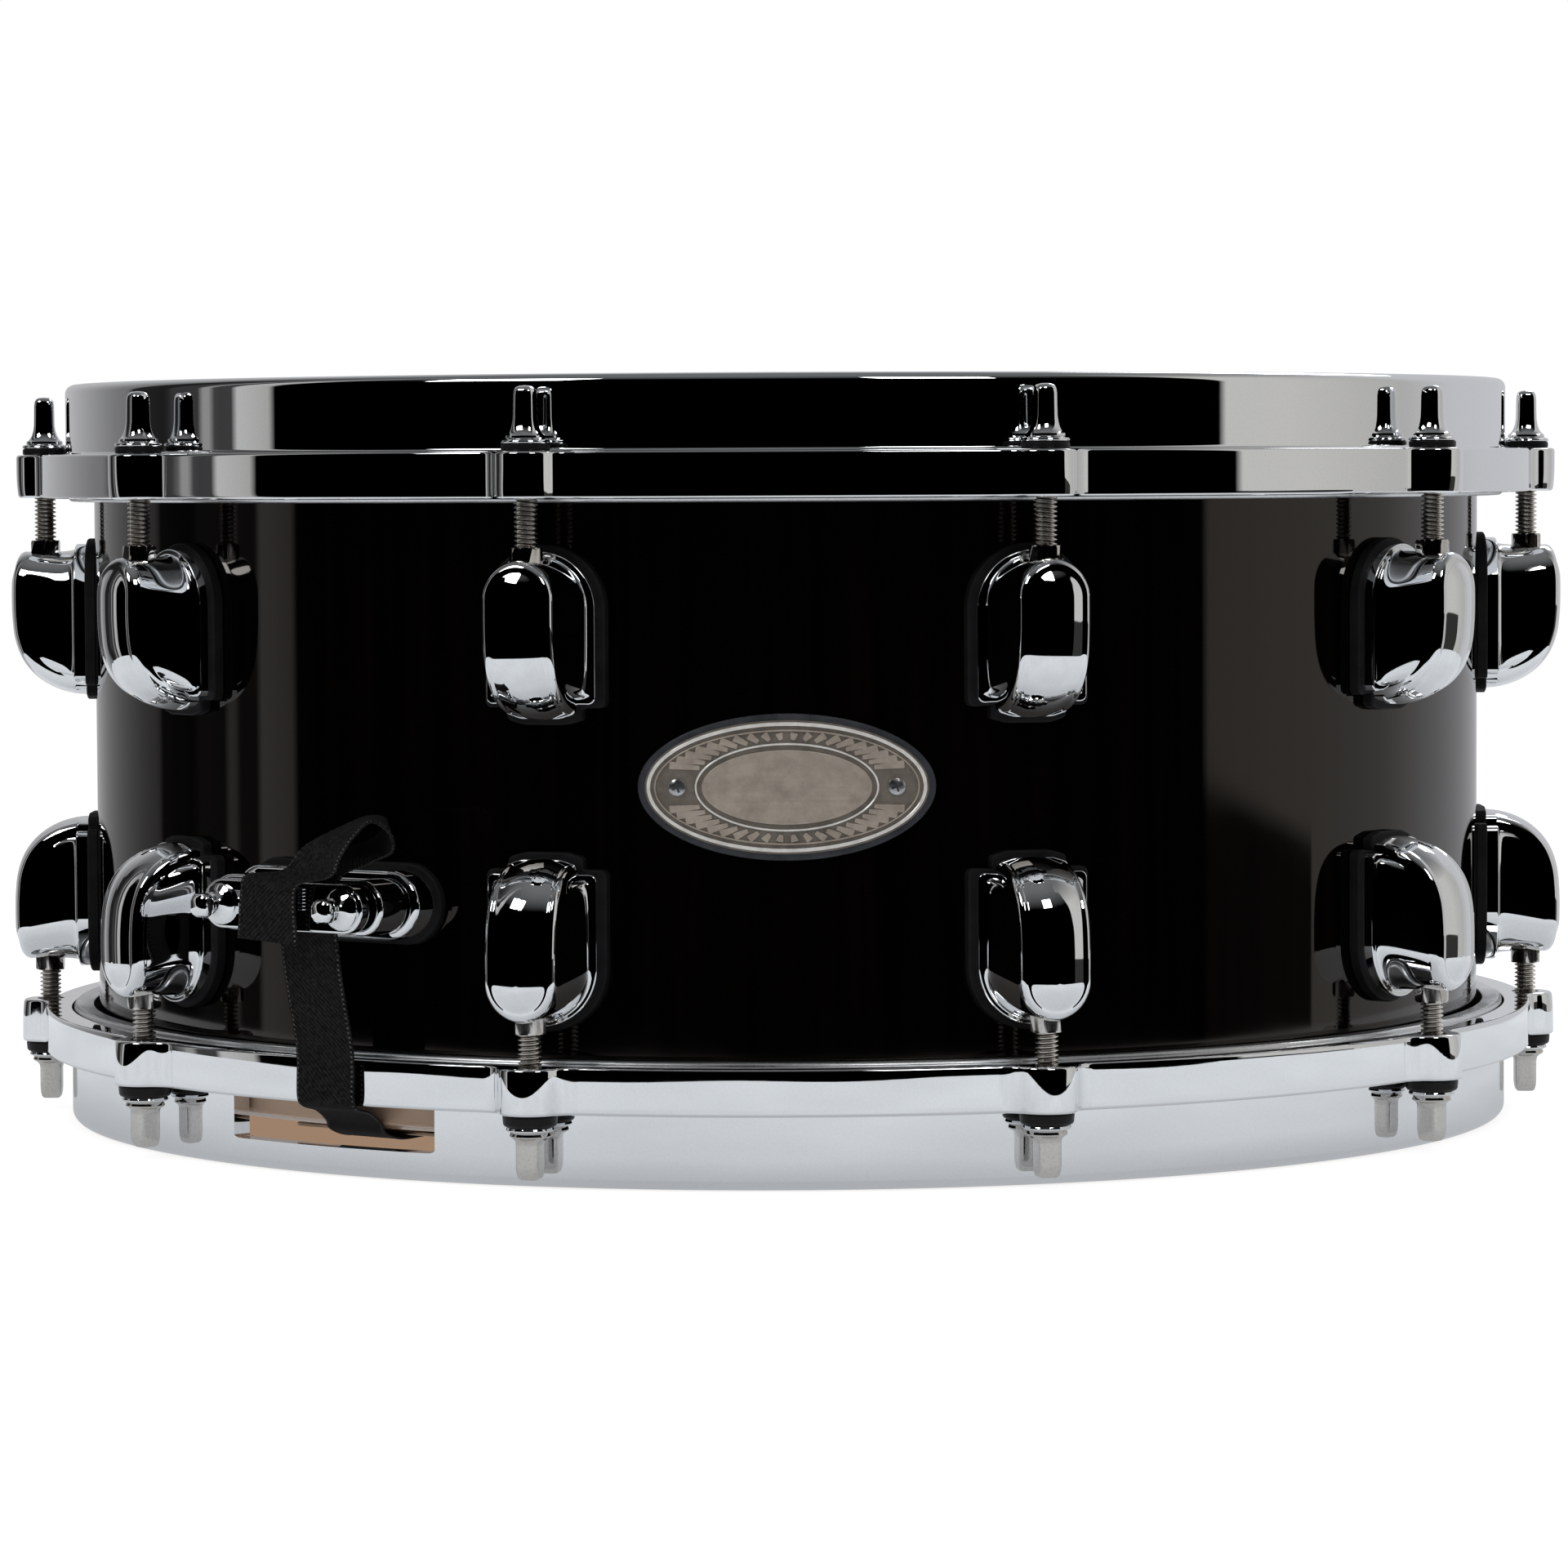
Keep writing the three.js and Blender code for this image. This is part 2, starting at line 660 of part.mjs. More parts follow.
function makeKnob() {
  const top = LIFT_Z[1] + 0.5;
  const fluted = Array.from({ length: 24 }, (_, i) => {
    const angle = (i * Math.PI) / 12;
    const reach = i % 2 ? 6.4 : 7.2;
    return [reach * Math.cos(angle), reach * Math.sin(angle) - SCREW_AXIS];
  });
  const grip = upwards(path(fluted), top, top + 9);
  const screw = upwards(path(circle(0, -SCREW_AXIS, SCREW_RADIUS, 8)), CARRIAGE_Z[0] + 7, top + 1);
  return joined(solid(grip), solid(screw));
}

// ---- badge -----------------------------------------------------------------------------------------------------

// A plain oval plate whose back is flat and clears the shell's facets.
function makeBadge() {
  const oval = Array.from({ length: 24 }, (_, i) => {
    const angle = (i * Math.PI) / 12;
    return [BADGE.across * Math.cos(angle), BADGE_Z + BADGE.up * Math.sin(angle)];
  });
  const slab = solid(outwards(oval, SHELL_RADIUS - 6, SHELL_RADIUS + BADGE.face + 0.4));
  const [back, face] = [SHELL_RADIUS + GAP, SHELL_RADIUS + BADGE.face];
  const [low, high] = [BADGE_Z - BADGE.up - 3, BADGE_Z + BADGE.up + 3];
  const bow = turned([
    [back, low],
    [face, low],
    [face, high],
    [back, high],
  ]);
  return slab.intersect(solid(bow));
}

// ---- assembly --------------------------------------------------------------------------------------------------

add('shell', makeShell(), lacquer);
add('vent_grommet', makeVent(), chrome, VENT_ANGLE);
add('badge', makeBadge(), pewter);

add('batter_head', turned(headFilm()), coatedFilm);
add('resonant_head', turned(flipped(headFilm())), clearFilm);
add('batter_flesh_hoop', turned(fleshHoop()), aluminium);
add('resonant_flesh_hoop', turned(flipped(fleshHoop())), aluminium);

const hoop = makeHoop();
const turnedOver = solid(shapeOf(hoop).rotateX(Math.PI).translate(0, 0, HEIGHT));
add('top_hoop', hoop, chrome);
add('bottom_hoop', cut(turnedOver, gateCutter(SNARE_ANGLE), gateCutter(SNARE_ANGLE + 180)), chrome);

const upperWasher = { radius: 5.6, thick: 3 };
const lowerWasher = { radius: 6.2, thick: 4.6 };
for (let k = 0; k < TENSION_POINTS; k++) {
  const angle = FIRST_POINT + k * POINT_STEP;
  const number = String(k + 1).padStart(2, '0');
  add(`upper_lug_${number}`, makeLug(UPPER_LUG_FACE, 1), chrome, angle);
  add(`lower_lug_${number}`, makeLug(LOWER_LUG_FACE, -1), chrome, angle);
  add(`upper_rod_${number}`, makeRod(HEIGHT - COLLAR_DEPTH + GAP, 1, upperWasher), chrome, angle);
  add(`lower_rod_${number}`, makeRod(COLLAR_DEPTH - GAP, -1, lowerWasher), nickel, angle);
}

add('snare_wires', makeWires(), steel, SNARE_ANGLE);

add('butt_body', makeButt(), chrome, SNARE_ANGLE);
add('butt_clamp', makeClamp(BUTT.clamp, CLAMP.screw, BUTT_Z), chrome, SNARE_ANGLE);
add('butt_strap', ribboned([...strapRise(6.8).map(level), ...buttBow]), ribbon, SNARE_ANGLE);

const strainerAngle = SNARE_ANGLE + 180;
const clampZ = (CARRIAGE_Z[0] + CARRIAGE_Z[1]) / 2;
add('strainer_body', makeStrainerBody(), chrome, strainerAngle);
add('throw_lever', makeLever(), chrome, strainerAngle);
add('lift_block', makeCarriage(LIFT_Z, LIFT_Z[0] - 1), steel, strainerAngle);
add('clamp_carriage', makeCarriage(CARRIAGE_Z, CARRIAGE_Z[0] + 5), steel, strainerAngle);
add('fine_tune_knob', makeKnob(), chrome, strainerAngle);
add('strainer_clamp', makeClamp(13.6, 9, clampZ), chrome, strainerAngle);
const strainerTail = [
  [0, 196.2, 69.5],
  [0, 196.6, 76],
].map(level);
add('strainer_strap', ribboned([...strapRise(0).map(level), ...strainerTail]), ribbon, strainerAngle);

export default drum;
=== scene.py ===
from math import acos, atan2, cos, degrees, hypot, pi, radians, sin, sqrt, tan

import bmesh
import bpy
import numpy as np
from mathutils import Matrix, Vector
from mathutils.geometry import tessellate_polygon


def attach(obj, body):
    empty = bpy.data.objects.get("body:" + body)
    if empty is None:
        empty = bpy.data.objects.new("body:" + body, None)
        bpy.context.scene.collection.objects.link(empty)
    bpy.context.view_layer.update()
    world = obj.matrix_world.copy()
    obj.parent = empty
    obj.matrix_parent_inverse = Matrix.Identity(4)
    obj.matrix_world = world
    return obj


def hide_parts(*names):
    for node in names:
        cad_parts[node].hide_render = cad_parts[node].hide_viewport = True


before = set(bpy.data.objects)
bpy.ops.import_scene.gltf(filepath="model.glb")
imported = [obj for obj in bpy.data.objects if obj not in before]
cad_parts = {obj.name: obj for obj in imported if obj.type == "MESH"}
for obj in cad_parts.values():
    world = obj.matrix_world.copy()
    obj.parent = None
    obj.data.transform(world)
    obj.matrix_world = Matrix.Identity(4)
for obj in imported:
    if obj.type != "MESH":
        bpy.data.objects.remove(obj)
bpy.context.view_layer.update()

# Shapes are built in millimetres. Angles round the drum are measured from the badge: 0 is -Y and +90 is +X.
# A piece on the drum's side is built in front of the badge side, with x along the shell, -y outwards and
# z up, and is then turned to its place.

MM = 0.001
HEIGHT = 187.3
SHELL, WALL = 177.8, 6.5  # outer radius and thickness
EDGE_LOW, EDGE_HIGH = 11.1, 176.2  # bearing edges
ROD_CIRCLE = 191.7
POINTS = [18 + 36 * k for k in range(10)]
BUTT, STRAINER = -36, 144
UPPER_FACE, LOWER_FACE = 144.4, 39.4  # rod ends of the lugs
TURN = 240  # steps round the drum
COLLAR_IN, COLLAR_OUT = 180.2, 184.9
FLANGE_LOW, FLANGE_HIGH = 158.6, 169.6
STRAP, THICK = 17.5, 0.55  # the ribbon's width and thickness


# ---- curves and solids ----


def arc(centre, radius, first, last, steps):
    """Points on an arc; angles in degrees."""
    angles = np.radians(np.linspace(first, last, steps + 1))
    return [(centre[0] + radius * cos(a), centre[1] + radius * sin(a)) for a in angles]


def around(radius, angle):
    """A point at an angle in radians, measured from the badge."""
    return radius * sin(angle), -radius * cos(angle)


def spin(x, y, angle):
    """A point turned about the drum's axis by an angle in radians."""
    c, s = cos(angle), sin(angle)
    return x * c - y * s, x * s + y * c


def box(left, right, low, high, radius):
    """The corners of an upright rectangle, for rounded()."""
    return [(left, low, radius), (right, low, radius), (right, high, radius), (left, high, radius)]


def lengths(points):
    """The distance to each point along a polyline."""
    return np.concatenate([[0], np.cumsum(np.linalg.norm(np.diff(points, axis=0), axis=1))])


def rounded(corners, steps=5, closed=True):
    """A polyline through corners of (x, y, radius), with an arc in place of each corner that has a radius."""
    out = []
    count = len(corners)
    for i, corner in enumerate(corners):
        p = np.array(corner[:2], float)
        radius = corner[2] if len(corner) > 2 else 0
        if radius <= 0 or (not closed and i in (0, count - 1)):
            out.append(tuple(p))
            continue
        a = np.array(corners[i - 1][:2], float) - p
        b = np.array(corners[(i + 1) % count][:2], float) - p
        la, lb = np.linalg.norm(a), np.linalg.norm(b)
        a, b = a / la, b / lb
        half = acos(max(-1, min(1, float(a @ b)))) / 2
        back = min(radius / tan(half), 0.49 * la, 0.49 * lb)
        centre = p + (a + b) / np.linalg.norm(a + b) * back / cos(half)
        start, end = p + a * back - centre, p + b * back - centre
        first = atan2(start[1], start[0])
        sweep = (atan2(end[1], end[0]) - first + pi) % (2 * pi) - pi
        size = np.linalg.norm(start)
        for k in range(steps + 1):
            angle = first + sweep * k / steps
            out.append((centre[0] + size * cos(angle), centre[1] + size * sin(angle)))
    return out


def spline(points, count):
    """Catmull-Rom through points of any dimension, spaced evenly along its length."""
    p = np.array(points, float)
    p = np.vstack([2 * p[0] - p[1], p, 2 * p[-1] - p[-2]])

    def between(a, b, first, last):
        return (last - t) / (last - first) * a + (t - first) / (last - first) * b

    fine = []
    for i in range(1, len(p) - 2):
        a, b, c, d = p[i - 1 : i + 3]
        k = np.cumsum([0] + [max(np.linalg.norm(v), 1e-6) ** 0.5 for v in (b - a, c - b, d - c)])
        t = np.linspace(k[1], k[2], 24, endpoint=i == len(p) - 3)[:, None]
        ab, bc, cd = between(a, b, k[0], k[1]), between(b, c, k[1], k[2]), between(c, d, k[2], k[3])
        fine.extend(between(between(ab, bc, k[0], k[2]), between(bc, cd, k[1], k[3]), k[1], k[2]))
    fine = np.array(fine)
    along = lengths(fine)
    at = np.linspace(0, along[-1], count)
    return np.stack([np.interp(at, along, fine[:, k]) for k in range(p.shape[1])], axis=1)


def stadium(half, height, middle=0.0, steps=14):
    """A stadium lying along x about height middle, anticlockwise."""
    radius = height / 2
    right = arc((half - radius, middle), radius, -90, 90, steps)
    return right + arc((radius - half, middle), radius, 90, 270, steps)


def inset(outline, distance):
    """An anticlockwise outline moved inwards."""
    p = np.array(outline, float)
    before, after = p - np.roll(p, 1, 0), np.roll(p, -1, 0) - p
    before /= np.linalg.norm(before, axis=1)[:, None]
    after /= np.linalg.norm(after, axis=1)[:, None]
    n1 = np.stack([before[:, 1], -before[:, 0]], 1)
    n = n1 + np.stack([after[:, 1], -after[:, 0]], 1)
    n /= np.linalg.norm(n, axis=1)[:, None]
    return p - n * distance / np.maximum((n * n1).sum(1), 0.5)[:, None]


# Planes that an outline and its depth are mapped to.
def from_above(u, v, w):
    return (u, v, w)


def from_front(u, v, w):
    return (u, -w, v)


class Shape:
    """Faces in millimetres, gathered into one mesh."""

    def __init__(self):
        self.points, self.faces, self.finish = [], [], []

    def add(self, points, faces, finish=0):
        start = len(self.points)
        self.points.extend(tuple(map(float, p)) for p in points)
        self.faces.extend(tuple(i + start for i in f) for f in faces)
        self.finish.extend([finish] * len(faces))
        return self

    def loft(self, rings, finish=0, closed=True, caps=True, looped=False):
        """A skin over rings with the same number of points. looped joins the last ring to the first."""
        width = len(rings[0])
        count = len(rings)
        faces = []
        for i in range(count if looped else count - 1):
            j = (i + 1) % count
            for k in range(width if closed else width - 1):
                m = (k + 1) % width
                faces.append((i * width + k, i * width + m, j * width + m, j * width + k))
        if caps and not looped:
            faces.append(tuple(range(width))[::-1])
            faces.append(tuple(range((count - 1) * width, count * width)))
        return self.add([p for ring in rings for p in ring], faces, finish)

    def turned(self, outline, steps=TURN, finish=0, back=0, closed=True):
        """An outline of (radius, height) turned about an upright axis at y = -back."""
        angles = np.radians(np.arange(steps) * 360 / steps)
        rings = [[(r * cos(a), r * sin(a) - back, z) for a in angles] for r, z in outline]
        return self.loft(rings, finish, caps=False, looped=closed)

    def studded(self, outline, x, z, steps=24, finish=0, corners=None):
        """An outline of (radius, distance out), on the axis at first and last, turned about a radial axis."""
        angles = np.radians((np.arange(steps) + 0.5) * 360 / steps)
        rings = []
        for i, (r, out) in enumerate(outline):
            power = corners[i] if corners else 2
            ring = []
            for a in angles:
                c, s = cos(a), sin(a)
                reach = r / (abs(c) ** power + abs(s) ** power) ** (1 / power)
                ring.append((x + reach * c, -out, z + reach * s))
            rings.append(ring)
        return self.loft(rings, finish, caps=False)

    def slab(self, outline, low, high, edge=0.5, plane=from_above, finish=0, back_edge=None, steps=4, fill=0):
        """A plate with rounded rims. fill adds rings to its flats, so that it can bend."""
        back_edge = edge if back_edge is None else back_edge
        centre = np.mean(outline, axis=0)
        inwards = [1 - k / (fill + 1) for k in range(1, fill + 1)]
        quarter = [(cos(a), sin(a)) for a in np.linspace(0, pi / 2, steps + 1)]
        levels = [(centre + (inset(outline, back_edge) - centre) * share, low) for share in reversed(inwards)]
        levels += [(inset(outline, back_edge * (1 - s)), low + back_edge * (1 - c)) for c, s in quarter]
        levels += [(inset(outline, edge * (1 - c)), high - edge * (1 - s)) for c, s in quarter]
        levels += [(centre + (inset(outline, edge) - centre) * share, high) for share in inwards]
        return self.loft([[plane(u, v, w) for u, v in ring] for ring, w in levels], finish)

    def changed(self, change):
        self.points = [change(*p) for p in self.points]
        return self

    def joined(self, other):
        return self.add(other.points, other.faces, other.finish[0])

    def raw(self, name):
        data = bpy.data.meshes.new(name)
        data.from_pydata([Vector(p) * MM for p in self.points], [], self.faces)
        data.polygons.foreach_set("material_index", self.finish)
        return data

    def mesh(self, name, sharp=32):
        data = self.raw(name)
        settle(data, sharp)
        return flat_shaded(data)


def linked(name, data):
    """A new object in the scene."""
    obj = bpy.data.objects.new(name, data)
    bpy.context.scene.collection.objects.link(obj)
    return obj


def applied(obj, *tools):
    """The mesh of an object with its modifiers applied. The object and its tools are removed."""
    graph = bpy.context.evaluated_depsgraph_get()
    result = bpy.data.meshes.new_from_object(obj.evaluated_get(graph), depsgraph=graph)
    for o in (obj, *tools):
        bpy.data.objects.remove(o)
    return result


def flat_shaded(data):
    """Weights a mesh's normals by area, so that flats between rounded edges reflect as flats."""
    name = data.name
    obj = linked("shaded", data)
    change = obj.modifiers.new("normals", "WEIGHTED_NORMAL")
    change.mode = "FACE_AREA"
    change.weight = 100
    change.keep_sharp = True
    result = applied(obj)
    result.name = name
    return result


def settle(data, sharp=32, weld=2e-6):
    """Welds a mesh, turns its faces outwards and splits the shading at sharp edges."""
    bm = bmesh.new()
    bm.from_mesh(data)
    bmesh.ops.remove_doubles(bm, verts=bm.verts, dist=weld)
    bmesh.ops.dissolve_degenerate(bm, edges=bm.edges, dist=weld)
    bmesh.ops.recalc_face_normals(bm, faces=bm.faces)
    limit = radians(sharp)
    for face in bm.faces:
        face.smooth = True
    for e in bm.edges:
        e.smooth = len(e.link_faces) != 2 or e.calc_face_angle() < limit
    bm.to_mesh(data)
    bm.free()
    data.update()


def piece(name, data, finishes, body="drum", angle=0, lift=0.0):
    """Puts a mesh in the scene as the piece that stands for the CAD node of the same name."""
    obj = linked(f"{name}_visual", data)
    if not data.materials:
        for finish in finishes:
            data.materials.append(finish)
    obj.rotation_euler = (0, 0, radians(angle))
    obj.location = (0, 0, lift * MM)
    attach(obj, body)
    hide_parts(name)
    return obj


def cut_out(data, *cutters):
    """A mesh with other closed meshes cut out of it."""
    whole = linked("whole", data)
    tools = [linked("tool", cutter) for cutter in cutters]
    for tool in tools:
        change = whole.modifiers.new("cut", "BOOLEAN")
        change.operation = "DIFFERENCE"
        change.solver = "EXACT"
        change.object = tool
    result = applied(whole, *tools)
    if "custom_normal" in result.attributes:
        result.attributes.remove(result.attributes["custom_normal"])
    settle(result)
    return flat_shaded(result)


# ---- materials ----


class Graph:
    """A node tree, built node by node."""

    def __init__(self, owner):
        owner.use_nodes = True
        self.nodes, self.links = owner.node_tree.nodes, owner.node_tree.links

    def put(self, node, socket, value):
        place = node.inputs[socket if isinstance(socket, int) else socket.replace("_", " ")]
        if isinstance(value, bpy.types.NodeSocket):
            self.links.new(value, place)
        elif value is not None:
            place.default_value = value

    def new(self, kind, *inputs, output=0, **sockets):
        """A node's output. An input is a value or another output, and _ stands for a space in its name."""
        node = self.nodes.new("ShaderNode" + kind)
        for socket, value in (*enumerate(inputs), *sockets.items()):
            self.put(node, socket, value)
        return node.outputs[output]

    def ramp(self, value, stops):
        fac = self.new("ValToRGB", Fac=value)
        elements = fac.node.color_ramp.elements
        while len(elements) < len(stops):
            elements.new(0.5)
        for element, (at, colour) in zip(elements, stops):
            element.position = at
            element.color = (*colour, 1)
        return fac

    def spread(self, value, low, high, start=0.3, end=0.7):
        return self.new("MapRange", Value=value, From_Min=start, From_Max=end, To_Min=low, To_Max=high)

    def math(self, kind, *values):
        result = self.new("Math", *values)
        result.node.operation = kind
        return result

    def times(self, a, b):
        return self.math("MULTIPLY", a, b)

    def plus(self, a, b):
        return self.math("ADD", a, b)

    def noise(self, scale, detail=3.0, place=None, rough=0.55):
        return self.new("TexNoise", Scale=scale, Detail=detail, Roughness=rough, Vector=place or self.place)


class Look(Graph):
    """A Principled material with procedural detail."""

    def __init__(self, name, base, rough, metal=0.0, **sockets):
        self.material = bpy.data.materials.new(name)
        super().__init__(self.material)
        self.shader = self.nodes["Principled BSDF"]
        sockets.update(Base_Color=(*base, 1), Roughness=rough, Metallic=metal)
        for socket, value in sockets.items():
            self.put(self.shader, socket, value)
        self.place = self.new("TexCoord", output="Object")
        self.height = None

    def scaled(self, x, y, z):
        return self.new("Mapping", Scale=(x, y, z), Vector=self.place)

    def bump(self, value, strength, distance):
        self.height = self.new("Bump", Strength=strength, Distance=distance, Height=value, Normal=self.height)
        self.put(self.shader, "Normal", self.height)

    def finished(self, colour, rough, height, strength, distance):
        """The material, with its colour, its roughness and a bump driven."""
        self.put(self.shader, "Base Color", colour)
        self.put(self.shader, "Roughness", rough)
        self.bump(height, strength, distance)
        return self.material


def shaded(colour, share):
    return tuple(share * c for c in colour)


def polished(name, base, low, high, wave=0.02):
    """Plated metal: faint handling marks, a slow ripple from the polishing wheel, and fine swirls."""
    look = Look(name, base, low, 1.0)
    swirls = look.ramp(look.noise(1900, 3), [(0.35, shaded(base, 0.97)), (0.6, base)])
    marks = look.spread(look.noise(38, 5), low, high, 0.35, 0.75)
    return look.finished(swirls, marks, look.noise(42, 2), wave, 0.0001)


def satin(name, base, rough, grain=(900, 900, 60)):
    """Brushed or cast metal with a directional grain and darker pits."""
    look = Look(name, base, rough, 1.0)
    streaks = look.noise(1, 4, look.scaled(*grain))
    pits = look.ramp(look.noise(1400, 4), [(0.3, shaded(base, 0.88)), (0.55, base)])
    return look.finished(pits, look.spread(streaks, rough * 0.8, rough * 1.35), streaks, 0.12, 0.00005)


def lacquered():
    """Black lacquer: deep warm gloss, faint upright grain telegraphing through, and dust-fine dulling."""
    look = Look("black_lacquer", (0.0006, 0.0005, 0.0004), 0.03, IOR=1.47, Specular_Tint=(1.0, 0.89, 0.80, 1))
    grain = look.noise(1, 5, look.scaled(240, 240, 7))
    black = look.ramp(grain, [(0.35, (0.0004, 0.0003, 0.0003)), (0.75, (0.0016, 0.0011, 0.0008))])
    return look.finished(black, look.spread(look.noise(24, 6), 0.02, 0.06), grain, 0.03, 0.00003)


def wooden():
    """Maple plies: pale bands up the wall's thickness and long grain round it."""
    look = Look("maple_plies", (0.6, 0.4, 0.24), 0.5, Coat_Weight=0.15, Coat_Roughness=0.3)
    grain = look.noise(1, 6, look.scaled(55, 55, 900))
    stops = [(0.3, (0.4, 0.235, 0.125)), (0.5, (0.58, 0.39, 0.23)), (0.75, (0.68, 0.49, 0.31))]
    bands = look.ramp(grain, stops)
    return look.finished(bands, look.spread(grain, 0.38, 0.6), grain, 0.3, 0.0001)


def rubbery(name, base, rough):
    look = Look(name, base, rough, Specular_IOR_Level=0.14)
    fine = look.noise(2600, 3)
    tone = look.ramp(look.noise(210, 4), [(0.3, base), (0.75, shaded(base, 1.9))])
    return look.finished(tone, look.spread(fine, rough * 0.85, min(rough * 1.2, 1)), fine, 0.25, 0.00004)


def coated():
    """A sprayed batter film: off-white, matt and speckled."""
    look = Look("coated_film", (0.6, 0.59, 0.57), 0.72, Specular_IOR_Level=0.3)
    speck = look.noise(2300, 4)
    cloud = look.plus(look.times(look.noise(9, 4), 0.6), look.times(look.noise(900, 3), 0.4))
    white = look.ramp(cloud, [(0.3, (0.49, 0.483, 0.46)), (0.7, (0.6, 0.594, 0.572))])
    return look.finished(white, look.spread(speck, 0.6, 0.85), speck, 0.5, 0.00006)


def hazy():
    """Thin snare-side film, tinted tan: partly its own haze, partly painted warm light from the wood inside
    the drum.
    """
    look = Look("hazy_film", (0.55, 0.4, 0.29), 0.22, Transmission_Weight=0.35, IOR=1.35)
    cloud = look.noise(30, 4)
    tone = look.ramp(cloud, [(0.3, (0.5, 0.35, 0.25)), (0.7, (0.6, 0.44, 0.32))])
    return look.finished(tone, look.spread(cloud, 0.16, 0.3), look.noise(400, 2), 0.05, 0.00005)


def woven():
    """Narrow ribbon with stitched selvedges. The strip attribute holds millimetres along and across it."""
    look = Look("ribbon", (0.01, 0.0095, 0.01), 0.85, Specular_IOR_Level=0.1)
    strip = look.new("Attribute", output="Vector")
    strip.node.attribute_name = "strip"
    split = look.new("SeparateXYZ", Vector=strip).node
    along, across = split.outputs[0], split.outputs[1]

    def wave(value, pitch):
        return look.math("SINE", look.times(value, 2 * pi / pitch))

    twill = look.times(wave(look.plus(along, across), 1.3), 0.6)
    weave = look.plus(look.times(wave(across, 0.5), wave(along, 0.42)), twill)
    lint = look.noise(1050, 5, rough=0.7)
    tone = look.plus(look.spread(weave, 0.0, 0.4, -1.2, 1.2), look.spread(lint, 0.0, 0.5, 0.3, 0.7))
    off = look.math("ABSOLUTE", look.math("SUBTRACT", across, STRAP / 2))
    beside = look.times(look.math("GREATER_THAN", off, 7.95), look.math("LESS_THAN", off, 8.4))
    dash = look.math("GREATER_THAN", wave(along, 1.15), 0.35)
    tone = look.plus(tone, look.times(look.times(beside, dash), look.times(lint, 1.3)))
    dark, light, thread = (0.0008, 0.0007, 0.0008), (0.0165, 0.0155, 0.0165), (0.07, 0.066, 0.062)
    black = look.ramp(tone, [(0.28, dark), (0.66, light), (0.8, light), (1.0, thread)])
    look.bump(weave, 0.6, 0.00008)
    return look.finished(black, look.spread(lint, 0.75, 0.95), lint, 0.3, 0.0001)


def pewtered(name, low, high, rough):
    """Antiqued badge metal: brushed along its length, darker in patches."""
    look = Look(name, high, rough, 0.35)
    brushed = look.noise(1, 4, look.scaled(60, 60, 1800))
    patches = look.ramp(look.noise(260, 6, rough=0.7), [(0.3, low), (0.62, high)])
    return look.finished(patches, look.spread(brushed, rough * 0.8, rough * 1.3), brushed, 0.15, 0.00005)


CHROME = polished("chrome", (0.86, 0.87, 0.885), 0.01, 0.035)
CHROME_CAST = polished("chrome_cast", (0.85, 0.86, 0.875), 0.015, 0.045, 0.05)
NICKEL = satin("nickel", (0.68, 0.65, 0.62), 0.11)
THREAD = satin("thread_plate", (0.86, 0.82, 0.77), 0.2)
# Painted shade: a dark finish for the thread's roots, standing in for the shade in its grooves.
THREAD_ROOT_SHADE = satin("thread_root_painted_shade", (0.26, 0.23, 0.21), 0.3)
STEEL = satin("spring_steel", (0.55, 0.55, 0.56), 0.28, (300, 300, 1400))
ZINC = satin("zinc", (0.56, 0.57, 0.58), 0.36, (500, 500, 500))
ALUMINIUM = satin("aluminium", (0.72, 0.73, 0.74), 0.3, (60, 60, 1600))
BRONZE = satin("bronzed_plate", (0.46, 0.32, 0.23), 0.34, (300, 300, 1400))
LACQUER, WOOD = lacquered(), wooden()
RUBBER = rubbery("rubber", (0.0045, 0.0045, 0.005), 0.6)
NYLON = rubbery("nylon", (0.006, 0.0055, 0.006), 0.35)
COATED, HAZY, RIBBON = coated(), hazy(), woven()
PEWTER = pewtered("pewter", (0.27, 0.228, 0.19), (0.385, 0.33, 0.28), 0.4)
PEWTER_DARK = pewtered("pewter_recess", (0.1, 0.086, 0.072), (0.17, 0.145, 0.122), 0.5)
PEWTER_BRIGHT = pewtered("pewter_rim", (0.62, 0.6, 0.57), (0.85, 0.83, 0.8), 0.2)
ENAMEL = rubbery("badge_border", (0.022, 0.023, 0.027), 0.28)


# ---- shell, heads and flesh hoops ----


def make_shell():
    inner = SHELL - WALL
    crest = SHELL - 2.6
    slope = 3.6  # height of each bearing edge's bevels
    outline = rounded(
        [(SHELL, EDGE_LOW + slope, 1.2), (SHELL, EDGE_HIGH - slope, 1.2), (crest, EDGE_HIGH, 0.8),
         (inner, EDGE_HIGH - slope, 0.4), (inner, EDGE_LOW + slope, 0.4), (crest, EDGE_LOW, 0.8)], 4)
    rings = []
    for r, z in outline:
        ring = []
        for k in range(TURN):
            a = 2 * pi * k / TURN
            away = abs((degrees(a) - BUTT + 90) % 180 - 90)
            bed = 0.7 * (1 + cos(pi * away / 20)) if away < 20 and z < 60 else 0
            ring.append((*around(r, a), z + bed))
        rings.append(ring)
    shape = Shape().loft(rings, looped=True)
    for i, (r, z) in enumerate(outline):
        following = outline[(i + 1) % len(outline)]
        if min(r, following[0]) < SHELL - 0.9:
            shape.finish[i * TURN : (i + 1) * TURN] = [1] * TURN
    hole = Shape().studded([(0, 160), (6.3, 160), (6.3, 190), (0, 190)], 0, HEIGHT / 2, 48)
    hole.changed(lambda x, y, z: (-x, -y, z))
    return cut_out(shape.mesh("shell"), hole.mesh("vent"))


def head_film():
    """A film over the bearing edge, with its skirt inside the flesh hoop."""
    low, thick = EDGE_HIGH + 0.35, 0.3
    return rounded(
        [(0.01, low + thick), (SHELL - 4.2, low + thick), (179.0, low - 1.6, 1.6), (179.0, low - 14),
         (178.6, low - 14), (178.6, low - 2.1, 1.2), (SHELL - 2.6, low), (0.01, low)], 5, False)


